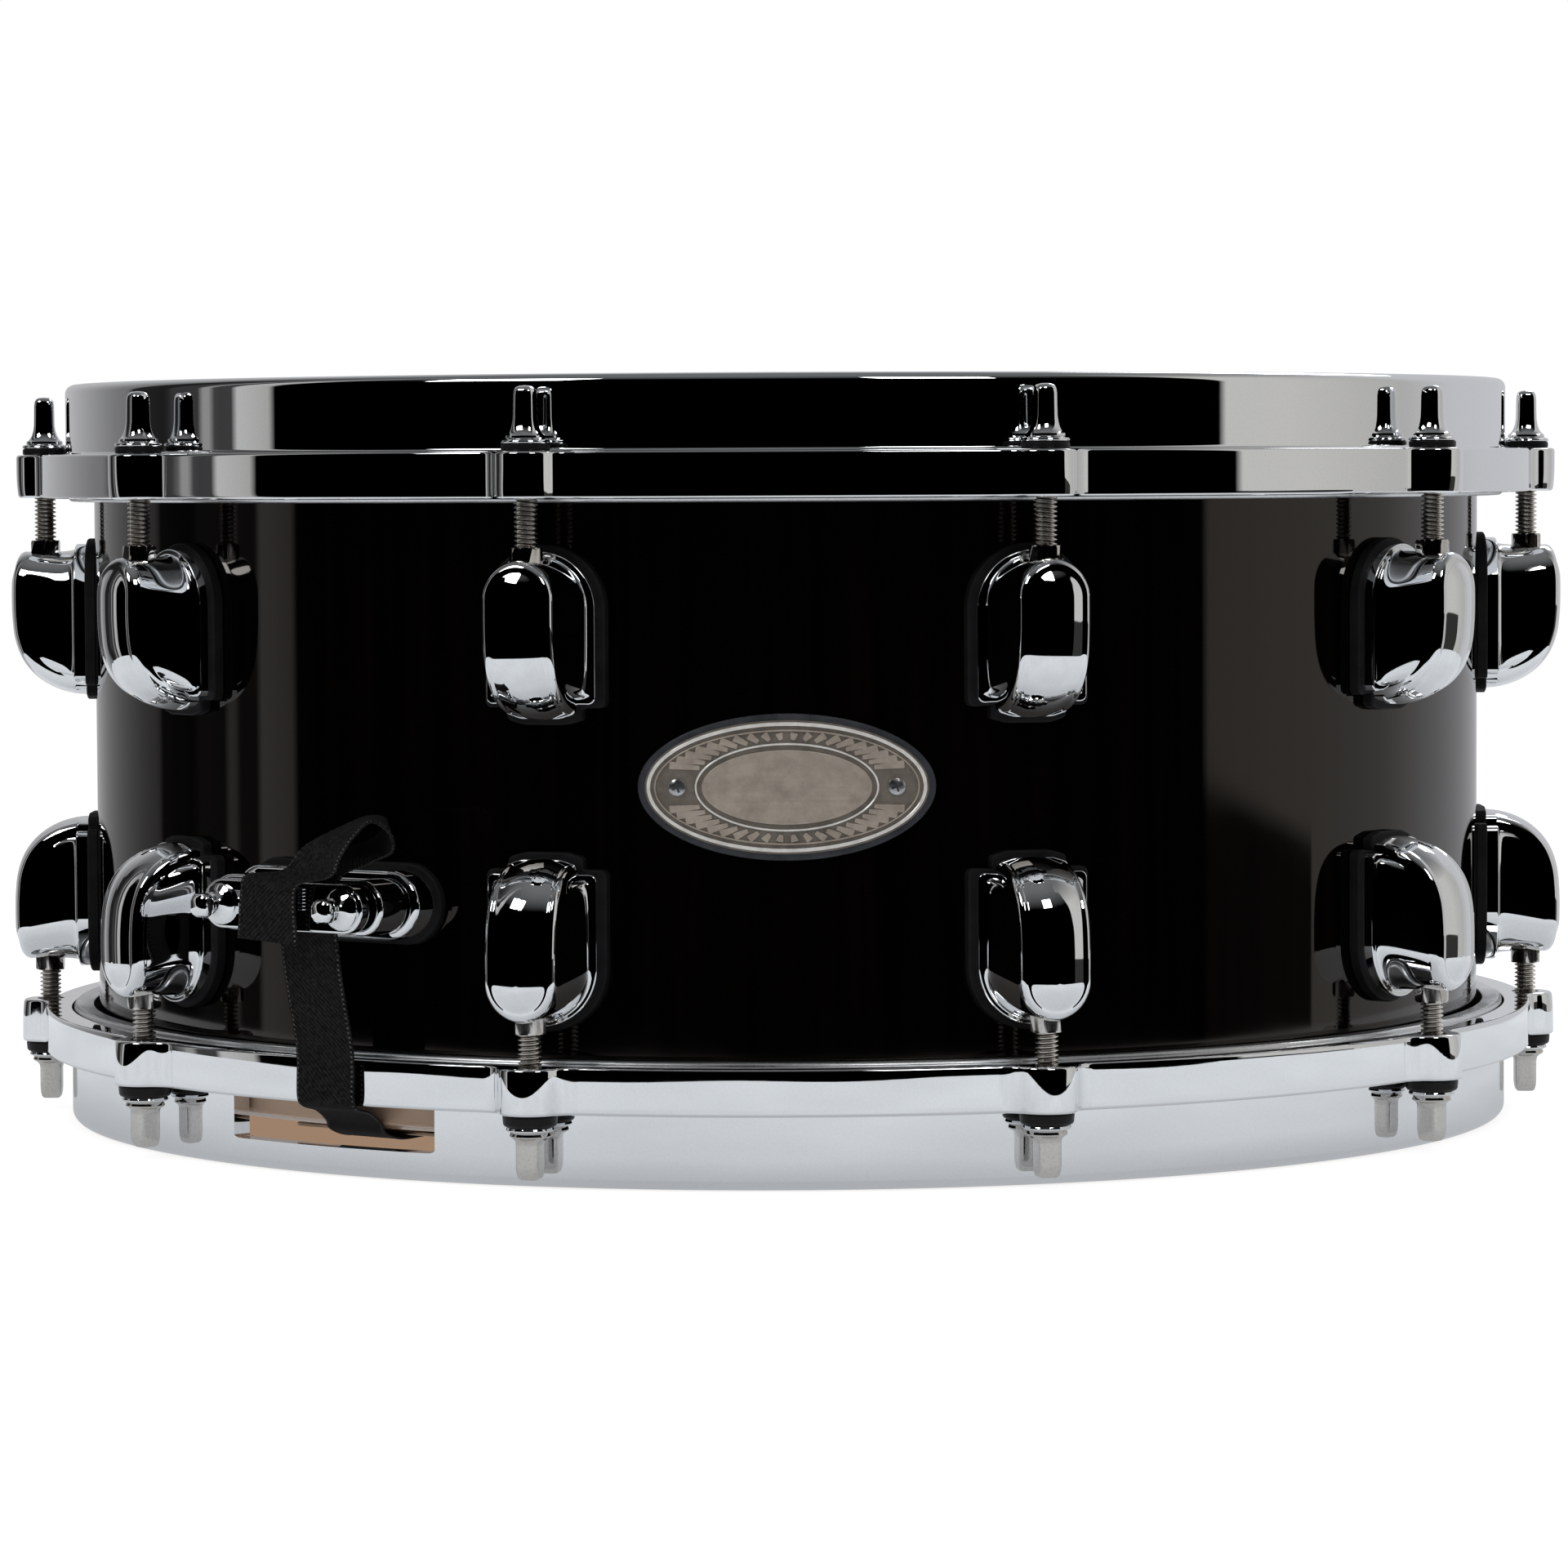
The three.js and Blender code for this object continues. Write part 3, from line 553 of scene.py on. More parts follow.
def flesh_hoop():
    """A rolled channel with a crimped middle."""
    high = HEIGHT - 21.3
    low = high - 8.4
    return rounded(
        [(179.25, low + 0.4, 0.4), (184.3, low, 1.4), (184.3, low + 2.6, 0.6), (183.7, low + 4.2, 0.8),
         (184.3, low + 5.8, 0.6), (184.3, high, 1.4), (179.25, high, 0.4)], 4)


def flipped(outline):
    return [(r, HEIGHT - z) for r, z in outline]


piece("shell", make_shell(), [LACQUER, WOOD])
for name, outline, finish, slot in (
    ("batter_head", head_film(), COATED, "coated_film"),
    ("resonant_head", flipped(head_film()), HAZY, "clear_film"),
    ("batter_flesh_hoop", flesh_hoop(), ALUMINIUM, "aluminium"),
    ("resonant_flesh_hoop", flipped(flesh_hoop()), ALUMINIUM, "aluminium"),
):
    piece(name, Shape().turned(outline).mesh(name), [finish])


# ---- hoops ----


def flange_outline():
    """The scalloped outline: an ear round each rod, with a fillet on each side, anticlockwise."""
    flange, ear, fillet = 191.5, 7.3, 6.0
    reach, span = flange + fillet, ear + fillet
    swing = acos((ROD_CIRCLE**2 + reach**2 - span**2) / (2 * ROD_CIRCLE * reach))
    cx, cy = around(reach, swing)
    to_fillet = atan2(cx, -cy - ROD_CIRCLE)
    tenth = radians(36)
    ears = [around(ear, a) for a in np.linspace(-to_fillet, to_fillet, 17)]
    bay = [(x, y - ROD_CIRCLE) for x, y in ears]
    for a in np.linspace(to_fillet, swing, 9)[1:]:
        bay.append((cx - fillet * sin(a), cy + fillet * cos(a)))
    bay += [around(flange, a) for a in np.linspace(swing, tenth - swing, 19)[1:]]
    bay += [spin(-x, y, tenth) for x, y in bay[17:24]][::-1]
    return [spin(x, y, radians(point)) for point in POINTS for x, y in bay]


def make_hoop():
    shape = Shape()
    outline = flange_outline()
    seam = 186.6  # where the flat of the flange meets the collar's fillet
    step = FLANGE_HIGH - 3.2
    inner = rounded(
        [(seam, FLANGE_HIGH), (COLLAR_OUT, FLANGE_HIGH, 1.5), (COLLAR_OUT, HEIGHT, 2.3),
         (COLLAR_IN, HEIGHT, 2.3), (COLLAR_IN, step, 0.4), (184.8, step, 0.5), (184.8, FLANGE_LOW, 0.5),
         (seam, FLANGE_LOW)], 7, False)
    shape.turned(inner, closed=False)
    edge = 0.75
    walls = []
    x, y = np.array(outline).T
    turn = np.arctan2(x, -y)
    nose = np.clip((np.hypot(x, y) - 194.4) / 4.5, 0, 1) ** 2
    bay = 3.0 + 1.3 * np.cos(3 * turn + radians(108))
    bay += 0.45 * np.sin(17 * turn) + 0.3 * np.sin(29 * turn)
    depth = bay + (9 - bay) * nose
    tilt = 0.08 + 0.08 * nose

    def crowned(below, distance):
        """The outline moved in, with the polished-over crown of the side that faces the shell."""
        fall = tilt * depth / 3 * np.clip(1 - below / depth, 0, 1) ** 3
        return inset(outline, (fall + distance)[:, None])

    quarter = [(1 - cos(a), 1 - sin(a)) for a in np.linspace(0, pi / 2, 6)]
    rows = [(edge * c, edge * s) for c, s in quarter] + [(b, 0) for b in np.arange(1.4, 9.4, 0.75)]
    for below, moved in rows:
        walls.append([(x, y, FLANGE_LOW + below) for x, y in crowned(below, moved)])
    for c, s in quarter:
        walls.append([(x, y, FLANGE_HIGH - edge * s) for x, y in inset(outline, edge * c)])
    shape.loft(walls, caps=False)
    holes = [arc(around(ROD_CIRCLE, radians(point)), 3.5, 0, 345, 23) for point in POINTS]
    for hole in holes:
        shape.loft([[(x, y, z) for x, y in hole] for z in (FLANGE_LOW, FLANGE_HIGH)], caps=False)
    for height, ring in ((FLANGE_LOW, walls[0]), (FLANGE_HIGH, walls[-1])):
        loops = [[Vector((x, y, 0)) for x, y, _ in ring]]
        loops.append([Vector((x, y, 0)) for x, y in arc((0, 0), seam, 0, 360 - 360 / TURN, TURN - 1)])
        loops += [[Vector((x, y, 0)) for x, y in hole] for hole in holes]
        shape.add([(p.x, p.y, height) for loop in loops for p in loop], tessellate_polygon(loops))
    return shape


def gate_cutter(angle):
    """A wedge with rounded lower corners, for the snare gate in the collar."""
    half, low, high = 9.6, 6.8, 17.75
    outline = rounded([(-half, low, 0.7), (half, low, 0.7), (half, high), (-half, high)], 6)
    rings = [[(*around(r, radians(angle + a)), z) for a, z in outline] for r in (176, 188)]
    return Shape().loft(rings).mesh("gate")


hoop = make_hoop()
piece("top_hoop", hoop.mesh("top_hoop"), [CHROME])
hoop.changed(lambda x, y, z: (x, -y, HEIGHT - z))
lower = cut_out(hoop.mesh("bottom_hoop"), gate_cutter(BUTT), gate_cutter(STRAINER))
piece("bottom_hoop", lower, [CHROME])


# ---- lugs ----


def sag(x):
    """How far the shell's surface lies behind its front at x."""
    return SHELL - sqrt(SHELL**2 - x**2)


def hug(x, y, z):
    """Bends a flat-backed piece to the shell's curve."""
    return (x, y + sag(x), z)


def make_lug():
    """The casting, its gasket and its swivel nut, with the rod end at height 0 and the tail at -37."""
    shape = Shape()  # finishes: 0 chrome, 1 rubber, 2 nickel
    crest = spline(
        [(-0.3, 199.6), (3, 200.15), (7, 200.45), (12, 200.55), (17, 200.4), (22.5, 199.7), (27.7, 197.7),
         (32, 194.1), (35, 189.2), (36.4, 184.5), (36.8, 180.4)],
        260,
    )  # (below the rod end, radius)
    along = lengths(crest)
    slope = np.gradient(crest, along, axis=0)
    slope /= np.linalg.norm(slope, axis=1)[:, None]
    outwards = np.stack([-slope[:, 1], slope[:, 0]], 1)
    weight = np.clip((along - 3) / 10, 0, 1)[:, None]
    outwards = outwards * weight + np.array([0, 1]) * (1 - weight)
    outwards /= np.linalg.norm(outwards, axis=1)[:, None]

    def on_crest(t):
        return [np.array([np.interp(t, along, a[:, k]) for k in (0, 1)]) for a in (crest, outwards)]

    half = 8.9  # of the face's width, and the radius of its rod end
    section = spline(
        [(8.9, 0), (7.2, 0.1), (5.6, 0.38), (4.3, 0.76), (3.3, 1.12), (2.8, 1.3), (2.45, 1.38), (2.1, 1.34),
         (1.75, 1.28), (1.35, 1.4), (0.9, 1.78), (0.5, 2.4), (0.2, 3.4), (0, 4.7)],
        46,
    )  # (in from the face's edge, depth under the crest)
    last = along[-1] - 0.05
    sides = [half + (last - half) * k / 40 for k in range(1, 41)]
    columns = [(t, -90) for t in reversed(sides)] + [(half, a) for a in np.linspace(-90, 90, 37)]
    columns += [(t, 90) for t in sides]
    rows = []
    for t0, angle in columns:
        c, s = cos(radians(angle)), sin(radians(angle))
        c = 0.0 if abs(angle) == 90 else c
        squeeze = 0.42 + 0.58 * abs(s)
        row = []
        for d, depth in section:
            middle, out = on_crest(t0 - c * (half - d))
            depth = min(depth, 1.3) + max(depth - 1.3, 0) * squeeze
            b, r = middle - out * depth
            row.append((s * (half - d), r, b))
        edge = np.array(row[-1])
        beside = min(1.0, max(0.0, (edge[2] - 8.6) / 12))
        shoulder = min(1.0, max(0.0, (edge[2] - 30.6) / 2.2))
        shoulder *= shoulder * (3 - 2 * shoulder) if abs(angle) == 90 else 0
        base = min(183.75, edge[1] - 0.05)
        wide, narrow = 12.3 - 3.6 * shoulder, 11.1 - 2.4 * shoulder
        low = edge[2] + 2.5 * (1 - beside * beside * (3 - 2 * beside)) if abs(angle) == 90 else 11.1
        foot, corner = (np.array([s * w, base, low - w * c]) for w in (wide, narrow))
        c1 = edge + (corner - edge) * (0.5 + 0.3 * abs(s))
        c2 = foot + (corner - foot) * 0.9
        for w in np.linspace(0, 1, 21)[1:]:
            p = (1 - w) ** 3 * edge + 3 * w * (1 - w) ** 2 * c1 + 3 * w * w * (1 - w) * c2 + w**3 * foot
            row.append((p[0], p[1] - sag(p[0]) * w, p[2]))
        row.append((foot[0], min(182.4, base - 0.05), foot[2]))
        rows.append([(x, -r, -b) for x, r, b in row])
    shape.loft(rows, closed=False, caps=False)

    def footprint(grow):
        """The base's outline, with a tongue at the tail, grown all round for the gasket."""
        half, tongue = 13.3 + grow, 8.5 + 0.5 * grow
        shoulder, tail = -33 - 0.6 * grow, -36.6 - grow
        middle = -11.1
        corners = [(-tongue, shoulder, 0.7), (-tongue, tail + 1.4, 1.2), (-tongue * 0.55, tail + 0.25, 5),
                   (tongue * 0.55, tail + 0.25, 5), (tongue, tail + 1.4, 1.2), (tongue, shoulder, 0.7),
                   (half, shoulder, 1.6), (half, middle)]
        outline = rounded(corners, 4) + arc((0, middle), half, 0, 180, 36)[1:]
        last = rounded([(-half, middle), (-half, shoulder, 1.6), (-tongue, shoulder)], 4, False)
        return outline + last[1:-1]

    shape.joined(Shape().slab(footprint(0), 180.3, 183.7, 0.4, from_front, 0, 0.3, fill=5).changed(hug))
    shape.joined(Shape().slab(footprint(1.45), 178.0, 180.7, 0.5, from_front, 1, 0.2, fill=5).changed(hug))
    rings = []
    sixth = radians(60)
    for r, z in ((4.05, -1), (4.05, 2.75), (3.7, 3.15), (2.95, 3.15), (2.95, -1)):
        ring = []
        for k in range(24):
            a = radians(15 * k)
            flat = cos(sixth / 2) / cos((a + sixth / 2) % sixth - sixth / 2)
            x, y = around(r * (flat if r > 3.8 else 1), a)
            ring.append((x, y - ROD_CIRCLE, z))
        rings.append(ring)
    return shape.loft(rings, 2, caps=False, looped=True)


lug = make_lug()
upper_lug = lug.mesh("upper_lug", 40)
lower_lug = lug.changed(lambda x, y, z: (x, y, -z)).mesh("lower_lug", 40)


# ---- tension rods ----


def squared(radius, height, corner):
    """A ring between a circle (corner 2) and a rounded square (corner 5 and more)."""
    steps = 40
    ring = []
    for k in range(steps):
        a = 2 * pi * (k + 0.5) / steps
        c, s = cos(a), sin(a)
        reach = radius / (abs(c) ** corner + abs(s) ** corner) ** (1 / corner)
        ring.append((reach * c, -ROD_CIRCLE + reach * s, height))
    return ring


def add_thread(shape, top, length, finish, root_shade):
    """A helical thread. Each ring drops by a pitch in going round, so its end joins one pitch further on."""
    pitch, steps = 1.06, 28
    profile = [2.0, 2.08, 2.46, 2.74, 2.78, 2.74, 2.46, 2.08]
    rise = len(profile)
    count = int(length / pitch * rise)
    points = []
    for i in range(count):
        for k in range(steps):
            a = 2 * pi * k / steps
            r, z = profile[i % rise], top - pitch * (i / rise + k / steps)
            points.append((r * cos(a), -ROD_CIRCLE + r * sin(a), z))
    # The root faces take the dark finish, painted shade in the thread's grooves.
    for part, kind in ((range(1, 7), finish), ((0, 7), root_shade)):
        faces = []
        for i in range(count - rise - 1):
            if i % rise in part:
                for k in range(steps):
                    j, m = (i, k + 1) if k < steps - 1 else (i + rise, 0)
                    faces.append((i * steps + k, j * steps + m, (j + 1) * steps + m, (i + 1) * steps + k))
        shape.add(points, faces, kind)


def make_rod(polished_head):
    """A rod seated at height 0 with its head above."""
    shape = Shape()
    metal = 0 if polished_head else 3  # finishes: 1 nylon, 2 chrome, 3 thread, 4 painted shade in the thread's roots
    core = [(2.02, 2.4), (2.02, 0.1), (1.95, -0.6), (1.95, -43.2), (0.02, -43.3)]
    add_thread(shape, 0.6, 44, metal, 4)
    shape.turned(core, 28, metal, ROD_CIRCLE, closed=False)
    if polished_head:
        washers = [
            ([(2.8, -0.25), (5.5, -0.25), (5.65, 0.2), (5.65, 1.1), (5.2, 1.5), (2.8, 1.5)], 1),
            ([(2.8, 1.45), (5.6, 1.45), (5.75, 1.75), (5.6, 2.15), (4.9, 2.4), (2.8, 2.4)], 2),
        ]
        head = [
            (2.2, 2.3, 2), (4.5, 2.35, 2), (4.72, 2.7, 2), (4.6, 3.2, 2), (4.15, 3.5, 2), (3.75, 3.9, 2.2),
            (3.25, 4.7, 2.5), (2.85, 5.8, 3), (2.62, 7.2, 3.2), (2.56, 9.5, 3.2), (2.52, 12.3, 3.2),
            (2.4, 13.4, 3), (2.05, 14.15, 2.7), (1.35, 14.5, 2.3), (0.02, 14.62, 2)]
    else:
        washers = [
            ([(2.8, -0.25), (6.1, -0.25), (6.4, 0.1), (6.25, 1.8), (5.9, 2.3), (2.8, 2.3)], 1),
            ([(2.8, 2.25), (5.15, 2.25), (5.35, 2.5), (5.62, 3.1), (5.5, 3.35), (5.1, 3.55), (2.8, 3.55)], 2),
        ]
        head = [
            (2.2, 3.45, 2), (4.3, 3.5, 2), (4.48, 3.75, 2), (4.78, 4.5, 2), (4.7, 4.75, 2), (4.4, 4.95, 2),
            (3.7, 5.25, 2.6), (3.05, 5.8, 4), (2.8, 6.8, 7), (2.75, 11.8, 9), (2.68, 13.0, 8),
            (2.45, 14.2, 6), (2.05, 14.65, 4), (0.02, 14.75, 2)]
    for outline, finish in washers:
        shape.turned(rounded([(r, z, 0.18) for r, z in outline], 3), 40, finish, ROD_CIRCLE)
    return shape.loft([squared(*ring) for ring in head], 2 if polished_head else 0)


upper_rod = make_rod(True).mesh("upper_rod", 40)
lower_rod = make_rod(False).changed(lambda x, y, z: (x, y, -z)).mesh("lower_rod", 40)

lug_finishes = [CHROME_CAST, RUBBER, NICKEL]
for k, angle in enumerate(POINTS):
    for name, mesh, face in (("upper_lug", upper_lug, UPPER_FACE), ("lower_lug", lower_lug, LOWER_FACE)):
        piece(f"{name}_{k + 1:02d}", mesh, lug_finishes, "drum", angle, face)
    for name, mesh, finish, slot, seat in (
        ("upper_rod", upper_rod, THREAD, "chrome", FLANGE_HIGH + 0.3),
        ("lower_rod", lower_rod, NICKEL, "nickel", HEIGHT - FLANGE_HIGH - 0.3),
    ):
        rod = f"{name}_{k + 1:02d}"
        piece(rod, mesh, [finish, NYLON, CHROME, THREAD, THREAD_ROOT_SHADE], rod, angle, seat)


# ---- snare wires ----


def make_wires():
    shape = Shape()
    for low, high in ((-168.9, -155.6), (155.6, 168.9)):
        shape.slab(rounded(box(-23.4, 23.4, low, high, 1.5), 4), 8.75, 9.65, 0.2, from_above, 1)
    strands, gap, coils, steps = 20, 2.3, 150, 6
    for i in range(strands):
        x = (i - (strands - 1) / 2) * gap
        rings = []
        for k in range(coils * 3 + 1):
            y = -157 + 314 * k / (coils * 3)
            ring = []
            for j in range(steps):
                a = 2 * pi * j / steps
                r = 0.62 + 0.16 * cos(a - 2 * pi * k / 3)
                ring.append((x + r * cos(a), y, 8.82 + r * sin(a)))
            rings.append(ring)
        shape.loft(rings, 0)
    return shape.mesh("snare_wires", 60)


piece("snare_wires", make_wires(), [STEEL, BRONZE], "snares", BUTT)


# ---- butt end and clamps ----


def add_screw(shape, x, z, face):
    """A drum-key screw: a dished flange, a neck and a rounded square head."""
    profile = [  # radius, distance out of the face, squareness
        (0.02, -0.6, 2), (4.75, -0.6, 2), (4.95, -0.1, 2), (4.85, 0.7, 2), (4.4, 1.15, 2), (3.4, 1.6, 2),
        (2.5, 2.3, 2), (1.95, 3.2, 2), (1.9, 4.1, 2), (2.2, 4.9, 2.4), (2.65, 5.5, 3), (2.85, 6.2, 3.4),
        (2.8, 7.2, 3.4), (2.45, 8.0, 3), (1.7, 8.5, 2.4), (0.02, 8.65, 2)]
    shape.studded([(r, face + out) for r, out, _ in profile], x, z, 32, 0, [corner for *_, corner in profile])


def make_butt():
    foot = Shape().slab(stadium(28, 16.5, 64.3), 179.2, 187, 1.6, from_front, 0, 0.3, 6, 6).changed(hug)
    gasket = Shape().slab(stadium(29.4, 19.2, 64.3), 178, 180, 0.8, from_front, 1, 0.2, 4, 6).changed(hug)
    shape = foot.joined(gasket)
    return shape.slab(stadium(26.2, 13.2, 64.3), 186, 195.5, 1.1, from_front, 0, 0.2, 6)


def make_clamp(half, screw, z, notch):
    """The plate that grips the strap, with a serrated step beside it."""
    shape = Shape().slab(stadium(half, 11.6, z, 20), 196.85, 200.2, 0.7, from_front, 0, 0.4)
    for side in (-1, 1):
        add_screw(shape, side * screw, z, 200.2)
    if notch:
        for k in range(7):
            low = z - 0.6 + 0.78 * k
            shape.slab(rounded(box(5.6, 7.1, low, low + 0.5, 0.15), 2), 199.9, 200.75, 0.12, from_front)
    return shape


piece("butt_body", make_butt().mesh("butt_body"), [CHROME_CAST, RUBBER], angle=BUTT)
piece("butt_clamp", make_clamp(24.2, 18.5, 64.3, True).mesh("butt_clamp"), [CHROME], angle=BUTT)
strainer_plate = make_clamp(13.6, 9, 62.5, False).mesh("strainer_clamp")
piece("strainer_clamp", strainer_plate, [CHROME], "carriage", STRAINER)


# ---- straps ----


def level(x, r, z):
    return (x - STRAP / 2, r, z, x + STRAP / 2, r, z)


def strap_rise(shift):
    """The run from under the wires' end plate out through the gate and up."""
    middle = [(0.2, 158.5, 7.8), (0.3, 170, 8), (0.4, 176.6, 10), (0.7, 180.3, 12.6), (0.9, 186, 15.6),
              (1, 191.4, 17.1), (1, 192.6, 18.4), (1, 192.9, 30), (0.9, 195.4, 45), (0.85, 196.2, 51.5)]
    return [level(share * shift, r, z) for share, r, z in middle]


BOW = [  # left x, radius, z, right x, radius, z
    (-3.3, 196.2, 70, 14.1, 196.2, 70),
    (9.4, 195.2, 76.2, 26.1, 198, 75.2),
    (20.3, 190.4, 80.6, 34.1, 200, 78.6),
    (22.8, 189.2, 84.6, 34.6, 202, 82.4),
    (19.6, 191.5, 85.4, 31.7, 204.5, 85.2),
    (12.6, 196.4, 82, 28.7, 207, 82.2),
    (6.8, 200, 78.3, 24.5, 207, 77.4),
    (2.6, 201.9, 73.2, 20.4, 205.6, 72.4),
    (-9.6, 202.4, 71, 8.2, 203.6, 69.4),
    (-10.6, 202.3, 67, 7, 203.2, 66),
    (-12.2, 201.6, 56.6, 6.6, 202, 55.6),
]


def make_strap(name, sections, count, body, angle):
    """A ribbon through its sections, with raised selvedges, and a strip attribute for its weave."""
    lines = spline(sections, count)
    across = np.linspace(0, 1, 25)
    from_edge = np.minimum(across, 1 - across) * STRAP
    bulge = 0.5 * THICK + 0.09 * np.exp(-(((from_edge - 0.55) / 0.35) ** 2))
    bulge[0] = bulge[-1] = 0.12
    left, right = lines[:, :3] * (1, -1, 1), lines[:, 3:] * (1, -1, 1)
    grid = left[:, None, :] * (1 - across)[None, :, None] + right[:, None, :] * across[None, :, None]
    normal = np.cross(np.gradient(grid, axis=0), np.gradient(grid, axis=1))
    normal *= bulge[None, :, None] / np.linalg.norm(normal, axis=2)[:, :, None]
    rings = np.concatenate([grid + normal, (grid - normal)[:, ::-1]], axis=1)
    run = lengths((left + right) / 2)
    strip = [(along, u * STRAP, 0) for along in run for u in (*across, *across[::-1])]
    data = Shape().loft(rings).raw(name)
    attribute = data.attributes.new("strip", "FLOAT_VECTOR", "POINT")
    attribute.data.foreach_set("vector", np.array(strip, float).ravel())
    settle(data, 60, 1e-7)
    strap = piece(name, data, [RIBBON], body, angle)


make_strap("butt_strap", strap_rise(6.8) + BOW, 260, "drum", BUTT)
make_strap("strainer_strap", strap_rise(0) + [level(0, 196.2, 69.5), level(0, 196.6, 76)], 130,
           "carriage", STRAINER)


# ---- strainer ----


def softened(node, width, backing=None):
    """A copy of a CAD node's mesh with its edges rounded over, and with a backing mesh joined to it."""
    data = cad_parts[node].data.copy()
    data.name = node
    data.materials.clear()
    bm = bmesh.new()
    bm.from_mesh(data)
    bmesh.ops.remove_doubles(bm, verts=bm.verts, dist=1e-6)
    bmesh.ops.dissolve_limit(bm, angle_limit=radians(1), verts=bm.verts, edges=bm.edges)
    edges = [e for e in bm.edges if len(e.link_faces) == 2 and e.calc_face_angle() > radians(25)]
    bmesh.ops.bevel(
        bm, geom=edges, offset=width * MM, segments=3, profile=0.5, affect="EDGES", clamp_overlap=True)
    if backing:
        bm.from_mesh(backing)
    bm.to_mesh(data)
    bm.free()
    if "custom_normal" in data.attributes:
        data.attributes.remove(data.attributes["custom_normal"])
    settle(data, 30)
    return flat_shaded(data)


def strainer_gasket():
    """The rubber sheet between the strainer's back plate and the shell."""
    outline = rounded(box(-18.4, 18.4, 42.6, 99.4, 3), 5)
    sheet = Shape().slab(outline, 178.0, 179.8, 0.5, from_front, 1, 0.2, fill=8).changed(hug)
    return sheet.changed(lambda x, y, z: (*spin(x, y, radians(STRAINER)), z)).mesh("gasket")


piece("strainer_body", softened("strainer_body", 0.7, strainer_gasket()), [CHROME_CAST, RUBBER])
for node, width, finish, body, slot in (
    ("throw_lever", 0.7, CHROME_CAST, "lever", "chrome"),
    ("lift_block", 0.6, ZINC, "lift", "zinc"),
    ("clamp_carriage", 0.6, ZINC, "carriage", "zinc"),
    ("fine_tune_knob", 0.25, CHROME, "knob", "chrome"),
):
    piece(node, softened(node, width), [finish], body)


# ---- badge and vent ----


def make_badge():
    """A plain oval plate: dark border, raised rims, fanned flutes, raised middle, two cross-slot screws."""
    middle = 92.4
    shape = Shape()  # finishes: 0 pewter, 1 enamel, 2 steel, 3 dark, 4 bright

    def oval(across, up):
        turn = np.arange(96) * 2 * pi / 96
        return [(across * cos(a), up * sin(a) + middle) for a in turn]

    shape.slab(oval(34.3, 16.9), 178.1, 179.3, 0.5, from_front, 1, fill=14)
    shape.slab(oval(32.7, 15.4), 179.0, 179.5, 0.15, from_front, 3, fill=14)
    shape.slab(oval(19.6, 8.6), 179.3, 179.95, 0.3, from_front, 0, fill=10)
    for across, up, thick, finish in ((32.3, 15.0, 0.95, 4), (30.6, 13.3, 0.5, 0), (21.2, 10.2, 0.55, 4)):
        outer, inside = oval(across, up), oval(across - thick, up - thick)
        low, high = 179.4, 179.95
        rings = [[from_front(u, v, w) for u, v in ring] for ring, w in
                 ((outer, low), (inset(outer, 0.1), high - 0.1), (inset(outer, 0.22), high),
                  (inset(inside, -0.22), high), (inset(inside, -0.1), high - 0.1), (inside, low))]
        shape.loft(rings, finish, caps=False)
    for k in range(52):
        a = 2 * pi * (k + 0.5) / 52
        c, s = cos(a), sin(a)
        x0, z0, x1, z1 = 21.9 * c, 10.9 * s, 29.6 * c, 12.5 * s
        if abs(abs((x0 + x1) / 2) - 25.2) < 3.4 and abs((z0 + z1) / 2) < 3.6:
            continue
        length = hypot(x1 - x0, z1 - z0)
        ux, uz = (x1 - x0) / length, (z1 - z0) / length
        px, pz = -uz * 0.5, ux * 0.5
        ends = ((x0, z0, 1), (x0, z0, -1), (x1, z1, -1.9), (x1, z1, 1.9))
        flute = rounded([(x + px * w, z + pz * w + middle, 0.2) for x, z, w in ends], 2)
        shape.slab(flute, 179.4, 179.8, 0.16, from_front, 0, 0.05, 2)
    head = [(0.02, 179.3), (2.15, 179.3), (2.15, 179.62), (1.9, 179.95), (1.2, 180.2), (0.02, 180.28)]
    for side in (-1, 1):
        x = side * 25.2
        shape.studded(head, x, middle, 28, 2)
        for turn in (0.35, 0.35 + pi / 2):
            corners = ((1.25, 0.24), (-1.25, 0.24), (-1.25, -0.24), (1.25, -0.24))
            slot = [(x + u, middle + v) for u, v in (spin(*corner, turn) for corner in corners)]
            shape.slab(slot, 179.9, 180.31, 0.02, from_front, 1, 0.02, 1)
    return shape.changed(hug).mesh("badge")


def make_vent():
    out, back = SHELL + 0.3, SHELL - WALL - 0.4
    outline = rounded([(4.6, back - 1, 0.3), (10, back - 1, 0.3), (10, back), (6.1, back), (6.1, out),
                       (10, out, 0.3), (9.1, out + 1.5, 0.9), (5.2, out + 1.8, 0.8)], 4)
    rings = [[(x, -w, z) for x, z in arc((0, HEIGHT / 2), r, 0, 352.5, 47)] for r, w in outline]
    return Shape().loft(rings, caps=False, looped=True).mesh("vent_grommet")


piece("badge", make_badge(), [PEWTER, ENAMEL, STEEL, PEWTER_DARK, PEWTER_BRIGHT])
piece("vent_grommet", make_vent(), [CHROME], angle=180)


# ---- camera, floor and light ----


def make_camera():
    pitch, roll, yaw = 0.0540, -0.0048, -0.0005
    forward = Vector((sin(yaw) * cos(pitch), cos(yaw) * cos(pitch), -sin(pitch)))
    right = forward.cross(Vector((0, 0, 1))).normalized()
    up = right.cross(forward)
    r = cos(roll) * right + sin(roll) * up
    u = -sin(roll) * right + cos(roll) * up
    data = bpy.data.cameras.new("camera")
    data.sensor_width = 36
    data.lens = 135.075  # the photo's fitted focal length, in mm
    data.clip_start, data.clip_end = 0.05, 60
    camera = linked("camera", data)
    rows = [[r[k], u[k], -forward[k], place] for k, place in enumerate((0, -1.52506, 0.16590))]
    camera.matrix_world = Matrix([*rows, [0, 0, 0, 1]])
    bpy.context.scene.camera = camera


